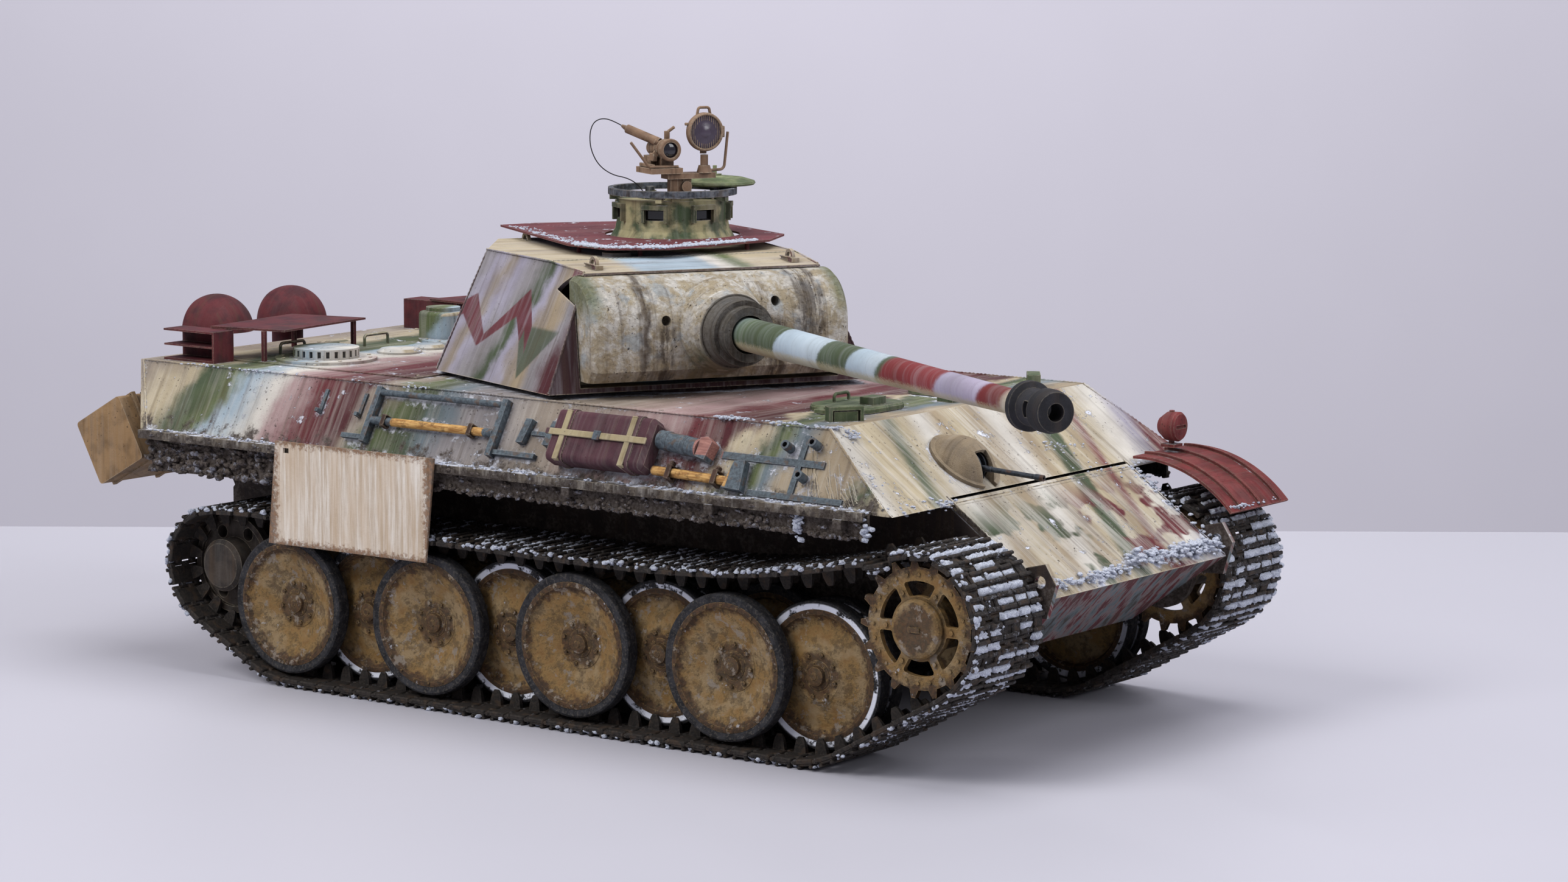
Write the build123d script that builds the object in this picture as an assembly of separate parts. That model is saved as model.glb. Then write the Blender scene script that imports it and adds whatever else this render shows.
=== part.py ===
"""A 1/16 scale radio-controlled tank with interleaved road wheels. Millimetres, X forward, Y to port, Z up.

The origin is on the ground, on the centreline, midway between the first and last road wheels.
"""
from math import acos, atan2, cos, degrees, hypot, pi, radians, sin, tan
import os

from build123d import *

# --- running gear ---
WHEEL_COUNT = 8
WHEEL_PITCH = 35.0
WHEEL_FIRST_X = 122.5
WHEEL_Z = 31.5
TYRE_R = 26.8
RIM_R = 23.2
LANE_OUTER = (91.9, 98.1)
LANE_MID_OUTER = (82.8, 89.0)
LANE_MID_INNER = (74.2, 80.4)
LANE_INNER = (65.0, 71.2)
HUB_R = 5.5
AXLE_R = 3.0
RUNNING_FIT = 0.05
SPROCKET_X = 171.5
SPROCKET_Z = 55.0
SPROCKET_TEETH = 17
SPROCKET_PITCH_R = 25.37
SPROCKET_ROOT_R = 21.4
SPROCKET_TIP_R = 24.4
TOOTH_LANES = (66.0, 97.0)
WINDOW_IN_R = 11.4
WINDOW_OUT_R = 16.6
SPOKE_WIDTH = 3.6
IDLER_X = -160.0
IDLER_Z = 42.5
IDLER_R = 19.4
IDLER_TRACK_GAP = 0.9
IDLER_LANE = (74.8, 88.4)

# --- track ---
LINK_PITCH = 9.375
LINK_GAP = 0.9
TRACK_Y = 81.55
TRACK_WIDTH = 41.3
PLATE_T = 2.6
CLEAT_H = 1.3
HORN_H = 5.4
HORN_LANES = ((71.8, 73.6), (89.5, 91.3))
PITCH_LINE_Z = CLEAT_H + PLATE_T / 2
TOP_RUN = ((105.7, 67.2), (57.5, 63.6), (0.0, 63.2), (-60.0, 63.5), (-112.0, 64.2))

# --- hull ---
WALL = 2.0
TUB_HALF = 58.1
BELLY_Z = 35.0
FLOOR_Z = 92.0
DECK_Z = 118.0
DECK_HALF = 82.0
SPONSON_HALF = 96.4
NOSE_X = 200.0
NOSE_Z = 62.8
GLACIS_TOP_X = 122.0
BELLY_FRONT_X = 160.0
REAR_TOP_X = -214.7
REAR_FLOOR_X = -200.8
REAR_BELLY_X = -170.0
FENDER_HALF = 102.2
SKIRT_Y = 104.0
HATCH_X = 97.0
HATCH_Y = 31.0
HATCH_PIVOT_Y = 49.0
MG_X = 144.2
MG_Y = -31.5
BALL_POCKET_R = 6.3

# --- turret, in its own frame: A forward, B to port, about the ring centre ---
TURRET_X = -20.7
TURRET_YAW = -28.88
RING_R = 49.0
TURRET_Z = 120.0
ROOF_Z = 166.0
ROOF_FRONT_Z = 164.0
TRUNNION_A = 45.3
GUN_Z = 143.2
MANTLET_R = 19.3
MANTLET_HALF = 52.0
MANTLET_FRONT_A = 65.0
SLEEVE_A = 88.8
BARREL_ROOT_R = 6.2
BARREL_TIP_R = 4.1
BARREL_END_A = 304.0
MUZZLE_A = 325.4
BORE_R = 2.9
CUPOLA_A = -31.0
CUPOLA_B = 20.6
CUPOLA_TOP_Z = 184.0
CUPOLA_RING_Z = 185.4
HATCH_R = 14.0
LID_R = 16.0
LID_PIVOT = (-46.1, 30.0)
LID_OPEN = 28.0
BASE_OUTLINE = [(54, 65), (-35, 76), (-85, 52), (-85, -52), (-35, -76), (54, -65)]
ROOF_OUTLINE = [(46, 47), (-35, 55), (-73.5, 36), (-73.5, -36), (-35, -55), (46, -47)]

# --- night sight ---
POST_A = -13.5
POST_B = 16.0
TRAY_Z = 192.6
LAMP = (-12.0, 25.8, 210.5)
LAMP_R = 7.4
SCOPE_B = 10.4
SCOPE_Z = 204.0
CORD_R = 0.21
PLUG_LENGTH = 2.6


def prism_y(points, y0, y1):
    """A prism of an X-Z outline between two Y values."""
    face = make_face(Polyline(*points, close=True))
    return extrude(Plane.XZ.offset(-y0) * face, amount=-(y1 - y0))


def prism_x(points, x0, x1):
    """A prism of a Y-Z outline between two X values."""
    face = make_face(Polyline(*points, close=True))
    return extrude(Plane.YZ.offset(x0) * face, amount=x1 - x0)


def prism_z(points, z0, z1):
    """A prism of an X-Y outline between two Z values."""
    face = make_face(Polyline(*points, close=True))
    return extrude(Plane.XY.offset(z0) * face, amount=z1 - z0)


def block(x0, x1, y0, y1, z0, z1):
    """A box given by its limits."""
    return Pos((x0 + x1) / 2, (y0 + y1) / 2, (z0 + z1) / 2) * Box(x1 - x0, y1 - y0, z1 - z0)


def rod(start, end, radius, end_radius=None):
    """A round bar, or a cone, between two points."""
    a = Vector(*start)
    b = Vector(*end)
    plane = Plane(origin=a, z_dir=b - a)
    length = (b - a).length
    if end_radius is None:
        shape = Cylinder(radius, length, align=(Align.CENTER, Align.CENTER, Align.MIN))
    else:
        shape = Cone(radius, end_radius, length, align=(Align.CENTER, Align.CENTER, Align.MIN))
    return plane * shape


def spin_y(profile):
    """A solid of revolution about Y from (radius, y) points."""
    return revolve(make_face(Polyline(*profile, close=True)), axis=Axis.Y, revolution_arc=360)


def spin_z(profile):
    """A solid of revolution about Z from (radius, z) points."""
    face = make_face(Polyline(*profile, close=True))
    return revolve(Plane.XZ * face, axis=Axis.Z, revolution_arc=360)


def mirrored(shapes):
    """The same shapes on the other side of the centreline."""
    return [mirror(s, about=Plane.XZ) for s in shapes]


def both_sides(shapes):
    """Starboard shapes with their port twins."""
    return list(shapes) + mirrored(shapes)


def on_turret(shape):
    """Turret-frame geometry set at the turret's resting angle."""
    return Pos(TURRET_X, 0, 0) * Rot(0, 0, TURRET_YAW) * shape


def save(name, shapes):
    """One node: every solid of the given shapes."""
    solids = [solid for shape in shapes for solid in shape.solids()]
    export_step(Compound(solids), f"parts/{name}.step")


def glacis_z(x):
    """Height of the glacis face."""
    return NOSE_Z + (NOSE_X - x) * (DECK_Z - NOSE_Z) / (NOSE_X - GLACIS_TOP_X)


def rear_x(z):
    """Where the sloped rear plate is at a height."""
    return REAR_BELLY_X + (z - BELLY_Z) * (REAR_TOP_X - REAR_BELLY_X) / (DECK_Z - BELLY_Z)


# ---------------------------------------------------------------- hull shells


def sponson_outline(inset):
    """Hull cross-section above the fenders, from starboard to port."""
    lean = (SPONSON_HALF - DECK_HALF) / (DECK_Z - FLOOR_Z - 1)
    low = SPONSON_HALF - 1.2 * inset
    high = DECK_HALF - 1.2 * inset + lean * inset
    floor = FLOOR_Z + inset
    return [(-low, floor), (-low, floor + 1), (-high, DECK_Z - inset), (high, DECK_Z - inset),
            (low, floor + 1), (low, floor)]


def hull_profile(inset):
    """Hull side view above the fenders."""
    slope = (NOSE_X - GLACIS_TOP_X) / (DECK_Z - NOSE_Z)
    front_floor = NOSE_X - (FLOOR_Z + inset - NOSE_Z) * slope
    shift = 1.75 * inset
    top = DECK_Z - inset
    return [(rear_x(FLOOR_Z + inset) + 1.1 * inset, FLOOR_Z + inset),
            (front_floor - shift, FLOOR_Z + inset),
            (GLACIS_TOP_X + inset * slope - shift, top), (rear_x(top) + 1.1 * inset, top)]


def make_upper_hull():
    """Superstructure: deck, leaning sides, sponson floors, glacis down to the nose."""
    outer = prism_x(sponson_outline(0), -230, 210) & prism_y(hull_profile(0), -100, 100)
    inner = prism_x(sponson_outline(WALL), -230, 210) & prism_y(hull_profile(WALL), -100, 100)
    shell = outer - inner - block(rear_x(FLOOR_Z) + 4, 152, -TUB_HALF + WALL, TUB_HALF - WALL, 80, 96)
    shell -= block(152, 158.7, -TUB_HALF, TUB_HALF, 91, 94)
    nose_plate = prism_y([(157.0, glacis_z(157.0)), (157.0, glacis_z(157.0) - 2.4), (196.8, NOSE_Z),
                          (NOSE_X, NOSE_Z)], -TUB_HALF, TUB_HALF)
    pannier = prism_y([(-199.5, FLOOR_Z), (-127.0, FLOOR_Z), (-131.0, 78.0), (-192.0, 77.0)], -96.0, -61.0)
    shell = shell + nose_plate + pannier + mirror(pannier, about=Plane.XZ)
    shell -= Pos(TURRET_X, 0, DECK_Z) * Cylinder(RING_R + 0.4, 12)
    shell -= block(-198, -86, -64, 64, DECK_Z - 4, DECK_Z + 1)
    for side in (-1, 1):
        shell -= Pos(HATCH_X, side * HATCH_PIVOT_Y, DECK_Z) * Cylinder(1.55, 8)
    shell -= Pos(*mg_centre()) * Sphere(BALL_POCKET_R)
    return shell


def make_lower_hull():
    """Tub with belly, side walls, nose underside and rear plate; tow eyes at the four corners."""
    top = FLOOR_Z - 0.02
    outline = [(REAR_BELLY_X, BELLY_Z), (BELLY_FRONT_X, BELLY_Z), (NOSE_X - 0.02, NOSE_Z - 0.02),
               (196.2, NOSE_Z - 0.02), (154.9, top), (rear_x(top), top)]
    inside = [(REAR_BELLY_X + 1.4, BELLY_Z + WALL), (BELLY_FRONT_X - 0.7, BELLY_Z + WALL),
              (193.5, NOSE_Z - 1.6),
              (149.0, top + 1), (rear_x(top) + 2.6, top + 1)]
    tub = prism_y(outline, -TUB_HALF, TUB_HALF) - prism_y(inside, -TUB_HALF + WALL, TUB_HALF - WALL)
    bracket = prism_y([(188.0, 55.5), (198.8, 56.0), (202.5, 68.0), (198.0, 75.0), (190.0, 73.0)], -60.2,
                      -TUB_HALF)
    bracket -= rod((196.0, -62, 68.5), (196.0, -50, 68.5), 2.2)
    tow = prism_y([(rear_x(60) + 2, 60), (rear_x(60) - 7, 58), (rear_x(60) - 7, 66), (rear_x(70) + 2, 70)],
                  -56.0, -52.5)
    tub = tub + bracket + mirror(bracket, about=Plane.XZ) + tow + mirror(tow, about=Plane.XZ)
    bore = rod((SPROCKET_X, -80, SPROCKET_Z), (SPROCKET_X, 80, SPROCKET_Z), AXLE_R + RUNNING_FIT)
    hatch = block(-60, 30, -32, 32, BELLY_Z - 1, BELLY_Z + WALL + 1)
    switch_slot = block(58, 70, -3.2, 3.2, BELLY_Z - 1, BELLY_Z + WALL + 1)
    return tub - bore - hatch - switch_slot


def make_battery_cover():
    """Belly hatch with four screws."""
    plate = block(-59.8, 29.8, -31.8, 31.8, BELLY_Z, BELLY_Z + WALL)
    screws = []
    for x in (-55, 25):
        for y in (-27, 27):
            plate -= Pos(x, y, BELLY_Z) * Cylinder(2.0, 1.2)
            screws.append(Pos(x, y, BELLY_Z + 0.4) * Cylinder(1.9, 0.4))
    return [plate] + screws


def make_power_switch():
    """Slide switch thumb in the belly slot."""
    return [block(58.4, 63.4, -2.8, 2.8, BELLY_Z - 0.8, BELLY_Z + WALL)]


def make_engine_deck():
    """Rear deck panel with fan covers, filler caps, intake cowl and handles."""
    top = DECK_Z + 0.6
    panel = block(-197.8, -86.2, -63.8, 63.8, DECK_Z - 2, top)
    pieces = [panel]
    standing = (Align.CENTER, Align.CENTER, Align.MIN)
    fan_x, fan_y, fan_r = -152, 42.5, 20
    drum = Pos(fan_x, -fan_y, top + 1.2) * Cylinder(13, 4.0, align=standing)
    for step in range(24):
        slot = Rot(0, 0, 15 * step) * Pos(12.4, 0, 0) * Box(3.4, 1.4, 2.6)
        drum -= Pos(fan_x, -fan_y, top + 3.2) * slot
    pieces.append(Pos(fan_x, -fan_y, top) * Cylinder(fan_r, 1.2, align=standing) + drum)
    for x, y, r in ((-146, -6, 9.0), (-146, 12, 7.0), (-183, -2, 6.0)):
        pieces.append(spin_at([(0, 0), (r, 0), (r, 0.8), (r - 1.6, 1.8), (0, 1.8)], x, y, top))
    cowl = Pos(-161, 38, top + 6.7) * Box(17, 17, 11)
    cowl = fillet(cowl.edges().filter_by(Axis.Z), 5.0)
    cowl = fillet(cowl.faces().sort_by(Axis.Z)[-1].edges(), 1.6)
    lid = Pos(-161, 38, top + 12.2) * Cylinder(7.0, 1.6, align=standing)
    pieces.append(Pos(fan_x, fan_y, top) * Cylinder(fan_r, 1.2, align=standing) + cowl + lid)
    for x, y in ((-171, 8), (-178, -34)):
        pieces += [grab_handle(x, y, top, 14.0, 4.5)]
    return pieces


def spin_at(profile, x, y, z):
    """A turned piece standing at a point."""
    return Pos(x, y, z) * spin_z(profile)


def grab_handle(x, y, z, span, height):
    """A bent-rod handle along Y."""
    wire = FilletPolyline((x, y - span / 2, z - 0.4), (x, y - span / 2, z + height),
                          (x, y + span / 2, z + height), (x, y + span / 2, z - 0.4), radius=1.4)
    profile = Plane(origin=wire @ 0, z_dir=wire % 0) * Circle(0.6)
    return sweep(profile, path=wire)


def make_deck_shields():
    """Open-ended sheet-metal ducts and a deflector plate on posts, one set a side."""
    base = DECK_Z + 0.02
    duct = block(-207, -180, -77, -65.6, base, base + 12.4)
    duct -= block(-208, -179, -78, -66.4, base + 0.9, base + 11.6)
    duct += block(-206.9, -180, -66.6, -65.8, base, base + 12.4)
    duct += block(-206.9, -180.1, -76.9, -66.0, base + 5.8, base + 6.5)
    duct += block(-180.8, -180, -77, -65.6, base, base + 12.4)
    top, foot = base + 12.6, base + 0.62
    starboard = prism_z([(-191, -67), (-158, -60), (-164, -6), (-197, -14)], top, top + 0.8)
    for x, y in ((-167, -62.0), (-190, -58), (-167.5, -9.5), (-192, -18)):
        starboard += block(x - 0.8, x + 0.8, y - 0.8, y + 0.8, foot, top)
    port = prism_z([(-192, 65), (-150, 60), (-152, 79), (-188, 84)], top, top + 0.8)
    for x, y in ((-156, 64.2), (-177, 64.6)):
        port += block(x - 0.8, x + 0.8, y - 0.8, y + 0.8, foot, top)
    return both_sides([duct]) + [starboard, port]


def make_exhaust_cowls():
    """Two upright pipes on the rear plate, each under a domed cowl that opens to the rear."""
    pieces = []
    for y in (-22.0, 22.0):
        pipe = rod((-233, y, 84), (-233, y, 124), 6.5)
        pipe -= rod((-233, y, 90), (-233, y, 125), 5.2)
        elbow = rod((rear_x(80), y, 90), (-233, y, 90), 6.0)
        shell = Pos(-231, y, 123) * (Sphere(15.0) - Sphere(14.0))
        shell -= block(-260, -200, y - 20, y + 20, 100, 123)
        shell -= block(-260, -238, y - 20, y + 20, 100, 150)
        stay = block(-234, -232, y - 14.4, y - 5.6, 122.0, 123.2)
        stay += block(-234, -232, y + 5.6, y + 14.4, 122.0, 123.2)
        hull_side = prism_y([(rear_x(60) - 0.02, 60), (rear_x(117) - 0.02, 117), (-150, 117), (-150, 60)],
                            -60, 60)
        pieces.append(pipe + (elbow - hull_side) + stay + shell)
    return pieces


def make_rear_bins():
    """Two sheet-metal stowage bins square to the sloped rear plate, on stand-off brackets."""
    lean = 29.0
    tray = Box(27, 40, 27)
    tray = fillet(tray.edges().filter_by(Axis.Y), 1.5)
    ribs = Pos(0, 12, 0) * Box(28.2, 2, 28.2) - Pos(0, 12, 0) * Box(26.9, 3, 26.9)
    ribs += Pos(0, -12, 0) * Box(28.2, 2, 28.2) - Pos(0, -12, 0) * Box(26.9, 3, 26.9)
    bin_body = Pos(-225, -70, 85.5) * Rot(0, -lean, 0) * (tray + ribs)
    inner = prism_y([(rear_x(96) - 0.02, 96), (rear_x(96) - 14, 93), (rear_x(88) - 14, 85),
                     (rear_x(84) - 0.02, 84)], -62, -58)
    bracket = inner - bin_body
    return both_sides([bin_body, bracket.solids().sort_by(SortBy.VOLUME)[-1]])


def make_fender_rails():
    """Fender strips, the rail plate beneath them and skirt hangers."""
    strip = block(-197, 150, -FENDER_HALF, -SPONSON_HALF - 0.02, 92.2, 93.4)
    lip = block(-197, 150, -FENDER_HALF, -FENDER_HALF + 0.8, 90.2, 93.4)
    rail = block(-125, 150, -98.6, -97.4, 83.6, 92.2)
    body = strip + lip + rail
    for x in (-118, -82, -46, 19, 84, 140):
        body += block(x - 1.8, x + 1.8, -103.0, -98.0, 87.0, 90.4)
    return both_sides([body])


def make_side_skirt():
    """The one skirt plate, hung on the fender hangers."""
    plate = prism_y([(-122.3, 95.6), (-42.7, 95.6), (-47.0, 56.2), (-126.2, 56.0)], -SKIRT_Y,
                    -SKIRT_Y + 0.9)
    plate -= block(-118.2, -115.4, -SKIRT_Y - 1, -SKIRT_Y + 2, 91.2, 93.2)
    return [plate]


def make_front_mudguard():
    """Curved ribbed mudguard, port side only."""
    y0, y1 = 61.0, FENDER_HALF
    outer = ThreePointArc((157.5, 95.8), (181.0, 92.0), (200.5, 78.4))
    inner = ThreePointArc((199.8, 77.8), (180.6, 91.0), (157.5, 94.8))
    face = make_face([outer, Line(outer @ 1, inner @ 0), inner, Line(inner @ 1, outer @ 0)])
    sheet = extrude(Plane.XZ.offset(-y0) * face, amount=-(y1 - y0))
    rib_outer = ThreePointArc((158.5, 96.9), (181.6, 93.0), (200.6, 79.6))
    rib_inner = ThreePointArc((200.3, 78.3), (181.0, 91.8), (158.5, 95.4))
    rib_face = make_face([rib_outer, Line(rib_outer @ 1, rib_inner @ 0), rib_inner,
                          Line(rib_inner @ 1, rib_outer @ 0)])
    for y in (67.5, 81.5, 95.5):
        sheet += extrude(Plane.XZ.offset(-y) * rib_face, amount=-1.2)
    flange = prism_y([(157.5, 95.0), (170.0, 94.6), (182.0, 91.2), (182.0, 88.2), (168.0, 92.0),
                      (157.5, 93.4)], y1 - 0.9, y1)
    return [sheet + flange]


def make_headlight():
    """Lamp with a slotted cover on a post above the mudguard."""
    x, y, z = 162.6, 80.0, 105.4
    body = Pos(x, y, z) * Rot(0, 90, 0) * spin_z([(0, -4.5), (3.2, -4.5), (5.4, -1.5), (5.6, 3.0),
                                                  (4.9, 3.9), (0, 4.3)])
    body -= block(x + 3.4, x + 6, y - 3.4, y + 3.4, z - 0.6, z + 0.6)
    post = rod((x, y, 97.8), (x, y, z - 3.0), 1.1)
    foot = block(x - 3, x + 3, y - 3, y + 3, 97.7, 98.9)
    cap = Pos(x, y, z + 5.2) * Cylinder(1.0, 1.6)
    return [body + post + foot + cap]


def glacis_frame():
    """A plane on the glacis at the hull gun: local X down the slope, local Z outward."""
    return Plane(origin=(MG_X, MG_Y, glacis_z(MG_X) + 0.02),
                 x_dir=(NOSE_X - GLACIS_TOP_X, 0, NOSE_Z - DECK_Z),
                 z_dir=(DECK_Z - NOSE_Z, 0, NOSE_X - GLACIS_TOP_X))


def make_ball_socket():
    """Cast dome on the glacis with a slot for the hull gun."""
    dome = Sphere(14.4) & Pos(0, 0, 10) * Box(40, 40, 20)
    dome = Pos(0, 0, -5.5) * dome & Pos(0, 0, 10) * Box(40, 40, 20)
    ring = Cylinder(14.2, 1.4, align=(Align.CENTER, Align.CENTER, Align.MIN))
    shape = dome + ring
    shape -= Pos(3.0, 0, 1.2) * Sphere(BALL_POCKET_R)
    shape -= Pos(9.0, 0, 4.4) * Box(12.5, 7.2, 9.5)
    return [glacis_frame() * shape]


def mg_centre():
    """Centre of the hull gun's ball."""
    return glacis_frame().from_local_coords(Vector(3.0, 0, 1.2))


def make_hull_gun():
    """Ball that yaws, slotted for the barrel, and the barrel that pitches in it."""
    c = mg_centre()
    ball = Sphere(5.6) & Box(12, 12, 9.6)
    ball -= Pos(4.0, 0, 0) * Box(12, 2.6, 9.7)
    barrel = rod((-1.5, 0, 0), (9.0, 0, 0), 1.1) + rod((9.0, 0, 0), (31.0, 0, 0), 0.95)
    barrel += rod((27.5, 0, 0), (31.0, 0, 0), 1.15)
    barrel -= rod((28.0, 0, 0), (31.5, 0, 0), 0.55)
    return [Pos(*c) * ball], [Pos(*c) * Rot(0, 3, 0) * barrel]


def make_hull_hatch(side):
    """Swivel hatch with a periscope, a grab handle and its pivot pin."""
    y = side * HATCH_Y
    lid = Pos(HATCH_X, y, DECK_Z + 1.35) * Box(27, 33, 2.1)
    lid = fillet(lid.edges().filter_by(Axis.Z), 9.0)
    lid = chamfer(lid.faces().sort_by(Axis.Z)[-1].edges(), 0.7)
    ear = block(HATCH_X - 4, HATCH_X + 4, min(y, side * 52), max(y, side * 52), DECK_Z + 0.3, DECK_Z + 1.7)
    pin = Pos(HATCH_X, side * HATCH_PIVOT_Y, 0) * rod((0, 0, DECK_Z - 1.4), (0, 0, DECK_Z + 2.6), 1.5)
    scope = block(HATCH_X + 4, HATCH_X + 10, y - 4, y + 4, DECK_Z + 2.0, DECK_Z + 5.2)
    handle = grab_handle(HATCH_X - 7, y, DECK_Z + 2.3, 9.0, 3.0)
    return [lid + ear + pin + scope + handle]


def make_hull_periscopes():
    """Guards over the fixed periscopes at the deck's front corners and centre."""
    pieces = []
    for x, y, turn in ((113, -61, -35), (113, 61, 35)):
        guard = Box(13, 5, 5.4) - Pos(0, 0, -0.7) * Box(10.4, 6, 4.2)
        prism = Pos(0, 0, -0.9) * Box(9, 3.6, 3.6)
        pieces.append(Pos(x, y, DECK_Z + 2.72) * Rot(0, 0, turn + 90) * (guard + prism))
    pieces.append(block(108, 115, 4, 12, DECK_Z + 0.02, DECK_Z + 5.6))
    return pieces


def side_frame(x, up):
    """A plane on the starboard leaning side: local X forward, local Y up the plate, local Z outward."""
    lean = hypot(SPONSON_HALF - DECK_HALF, DECK_Z - FLOOR_Z - 1)
    dy = (SPONSON_HALF - DECK_HALF) / lean
    dz = (DECK_Z - FLOOR_Z - 1) / lean
    origin = (x, -SPONSON_HALF + dy * up, FLOOR_Z + 1 + dz * up)
    return Plane(origin=origin, x_dir=(1, 0, 0), z_dir=(0, -dz, dy))


def make_tool_rack():
    """Rack with a wooden handle and steel bars, clamps, strips and stub holders on the side."""
    rack = side_frame(-86, 0)
    pieces = []
    for x in (0.0, 62.0):
        pieces.append(rack * block(x, x + 2.4, 4.0, 26.5, 0.02, 3.4))
    pieces.append(rack * rod((2.4, 24.5, 2.2), (62.0, 24.5, 2.2), 1.2))
    pieces.append(rack * rod((2.4, 13.0, 2.2), (62.0, 13.0, 2.2), 1.6))
    pieces.append(rack * block(-10.0, -0.02, 5.0, 6.8, 1.0, 2.8))
    pieces.append(rack * block(64.42, 84.0, 5.0, 6.8, 0.02, 2.4))
    for x in (74.0, 86.5):
        pieces.append(rack * (prism_z([(x, 10.5), (x + 3, 10.5), (x + 4.5, 20), (x + 1.5, 20)], 0.02, 3.0)))
    pieces.append(rack * block(78.5, 86.4, 14.4, 16.0, 0.02, 1.2))
    front = side_frame(80, 0)
    pieces.append(front * (block(0, 45, 13.6, 16.2, 0.02, 0.8) + block(33, 35.4, 2.8, 25.5, 0.02, 0.8)
                           + block(16, 57, 0.8, 3.0, 0.02, 0.8)))
    for x, up in ((29.0, 19.6), (40.0, 21.6), (38.5, 9.0)):
        stub = rod((x, up, 0.85), (x, up, 5.4), 1.7) - rod((x, up, 3.6), (x, up, 5.6), 1.0)
        pieces.append(front * stub)
    hooks = side_frame(-117, 0)
    for x in (4.0, 24.0):
        pieces.append(hooks * (block(x, x + 1.4, 14, 24, 0.02, 1.0) + block(x, x + 1.4, 14, 15.4, 1.0,
                                                                            3.2)))
    return pieces


def make_hand_axe():
    """Axe with a wooden handle in two clips."""
    plane = side_frame(54, 0)
    handle = rod((0, 5.6, 2.4), (35.0, 4.6, 2.4), 1.7)
    head = prism_z([(33.0, 1.6), (41.0, 1.2), (39.6, 12.6), (35.0, 12.0)], 0.9, 4.2)
    return [plane * (handle + head)]


def make_crate():
    """Stowage case with rounded edges and raised straps."""
    plane = side_frame(9, 3.2)
    case = Pos(22, 10.2, 4.6) * Box(44, 20.0, 9.0)
    case = fillet(case.edges().filter_by(Axis.X), 2.4)
    case = chamfer(case.faces().sort_by(Axis.X)[-1].edges(), 1.8)
    for x in (4.5, 35.0):
        strap = Pos(x + 1.5, 10.2, 4.6) * Box(3.0, 20.9, 9.9)
        strap = fillet(strap.edges().filter_by(Axis.X), 2.7)
        case += strap & (Pos(22, 10, 10.1) * Box(60, 40, 20))
    case += block(-3.0, 38.0, 9.6, 11.8, 8.9, 9.7)
    case = case & (Pos(22, 10, 10.1) * Box(60, 40, 20))
    return [plane * case]


def make_cleaning_tube():
    """Strapped canister with a wooden block at its end."""
    plane = side_frame(54, 17.0)
    tube = rod((0, 0, 3.7), (18.5, -2.0, 3.7), 3.5)
    for x in (2.5, 11.0):
        tube += rod((x, -0.11 * x, 3.7), (x + 2.0, -0.11 * x - 0.2, 3.7), 3.65)
    wood = prism_z([(18.8, -5.6), (23.2, -6.6), (24.4, 0.4), (22.0, 2.2), (18.8, 1.6)], 1.0, 6.2)
    return [plane * tube, plane * wood]


# ---------------------------------------------------------------- running gear


def tangent_right(c1, r1, c2, r2):
    """Contact points of the outer tangent on the right of two circles, and the angle of its normal."""
    dx = c2[0] - c1[0]
    dz = c2[1] - c1[1]
    normal = atan2(dz, dx) - acos((r1 - r2) / hypot(dx, dz))
    p1 = (c1[0] + r1 * cos(normal), c1[1] + r1 * sin(normal))
    p2 = (c2[0] + r2 * cos(normal), c2[1] + r2 * sin(normal))
    return p1, p2, degrees(normal)


def track_path():
    """The closed line of the track's pins in side view, round to the left from the ground run."""
    front = (WHEEL_FIRST_X, WHEEL_Z)
    rear = (WHEEL_FIRST_X - WHEEL_PITCH * (WHEEL_COUNT - 1), WHEEL_Z)
    wheel_r = WHEEL_Z - PITCH_LINE_Z
    sprocket = (SPROCKET_X, SPROCKET_Z)
    idler = (IDLER_X, IDLER_Z)
    idler_r = IDLER_R + PLATE_T / 2 + IDLER_TRACK_GAP
    f1, f2, front_angle = tangent_right(front, wheel_r, sprocket, SPROCKET_PITCH_R)
    r1, r2, rear_angle = tangent_right(idler, idler_r, rear, wheel_r)
    leave, land = 105.0, 95.0
    top_start = (sprocket[0] + SPROCKET_PITCH_R * cos(radians(leave)),
                 sprocket[1] + SPROCKET_PITCH_R * sin(radians(leave)))
    top_end = (idler[0] + idler_r * cos(radians(land)), idler[1] + idler_r * sin(radians(land)))
    start_dir = (-sin(radians(leave)), cos(radians(leave)))
    end_dir = (-sin(radians(land)), cos(radians(land)))
    rear_angle += 360
    parts = [
        Line((rear[0], PITCH_LINE_Z), (front[0], PITCH_LINE_Z)),
        CenterArc(front, wheel_r, -90, front_angle + 90),
        Line(f1, f2),
        CenterArc(sprocket, SPROCKET_PITCH_R, front_angle, leave - front_angle),
        Spline(top_start, *TOP_RUN, top_end, tangents=[start_dir, end_dir]),
        CenterArc(idler, idler_r, land, rear_angle - land),
        Line(r1, r2),
        CenterArc(rear, wheel_r, rear_angle, 270 - rear_angle),
    ]
    return parts


def pin_points():
    """Evenly spaced pin positions (x, z) round the track."""
    parts = track_path()
    lengths = [part.length for part in parts]
    total = sum(lengths)
    count = round(total / LINK_PITCH)
    points = []
    for index in range(count):
        at = total * index / count
        for part, length in zip(parts, lengths):
            if at <= length:
                point = part @ (at / length)
                points.append((point.X, point.Y))
                break
            at -= length
    return points


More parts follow.
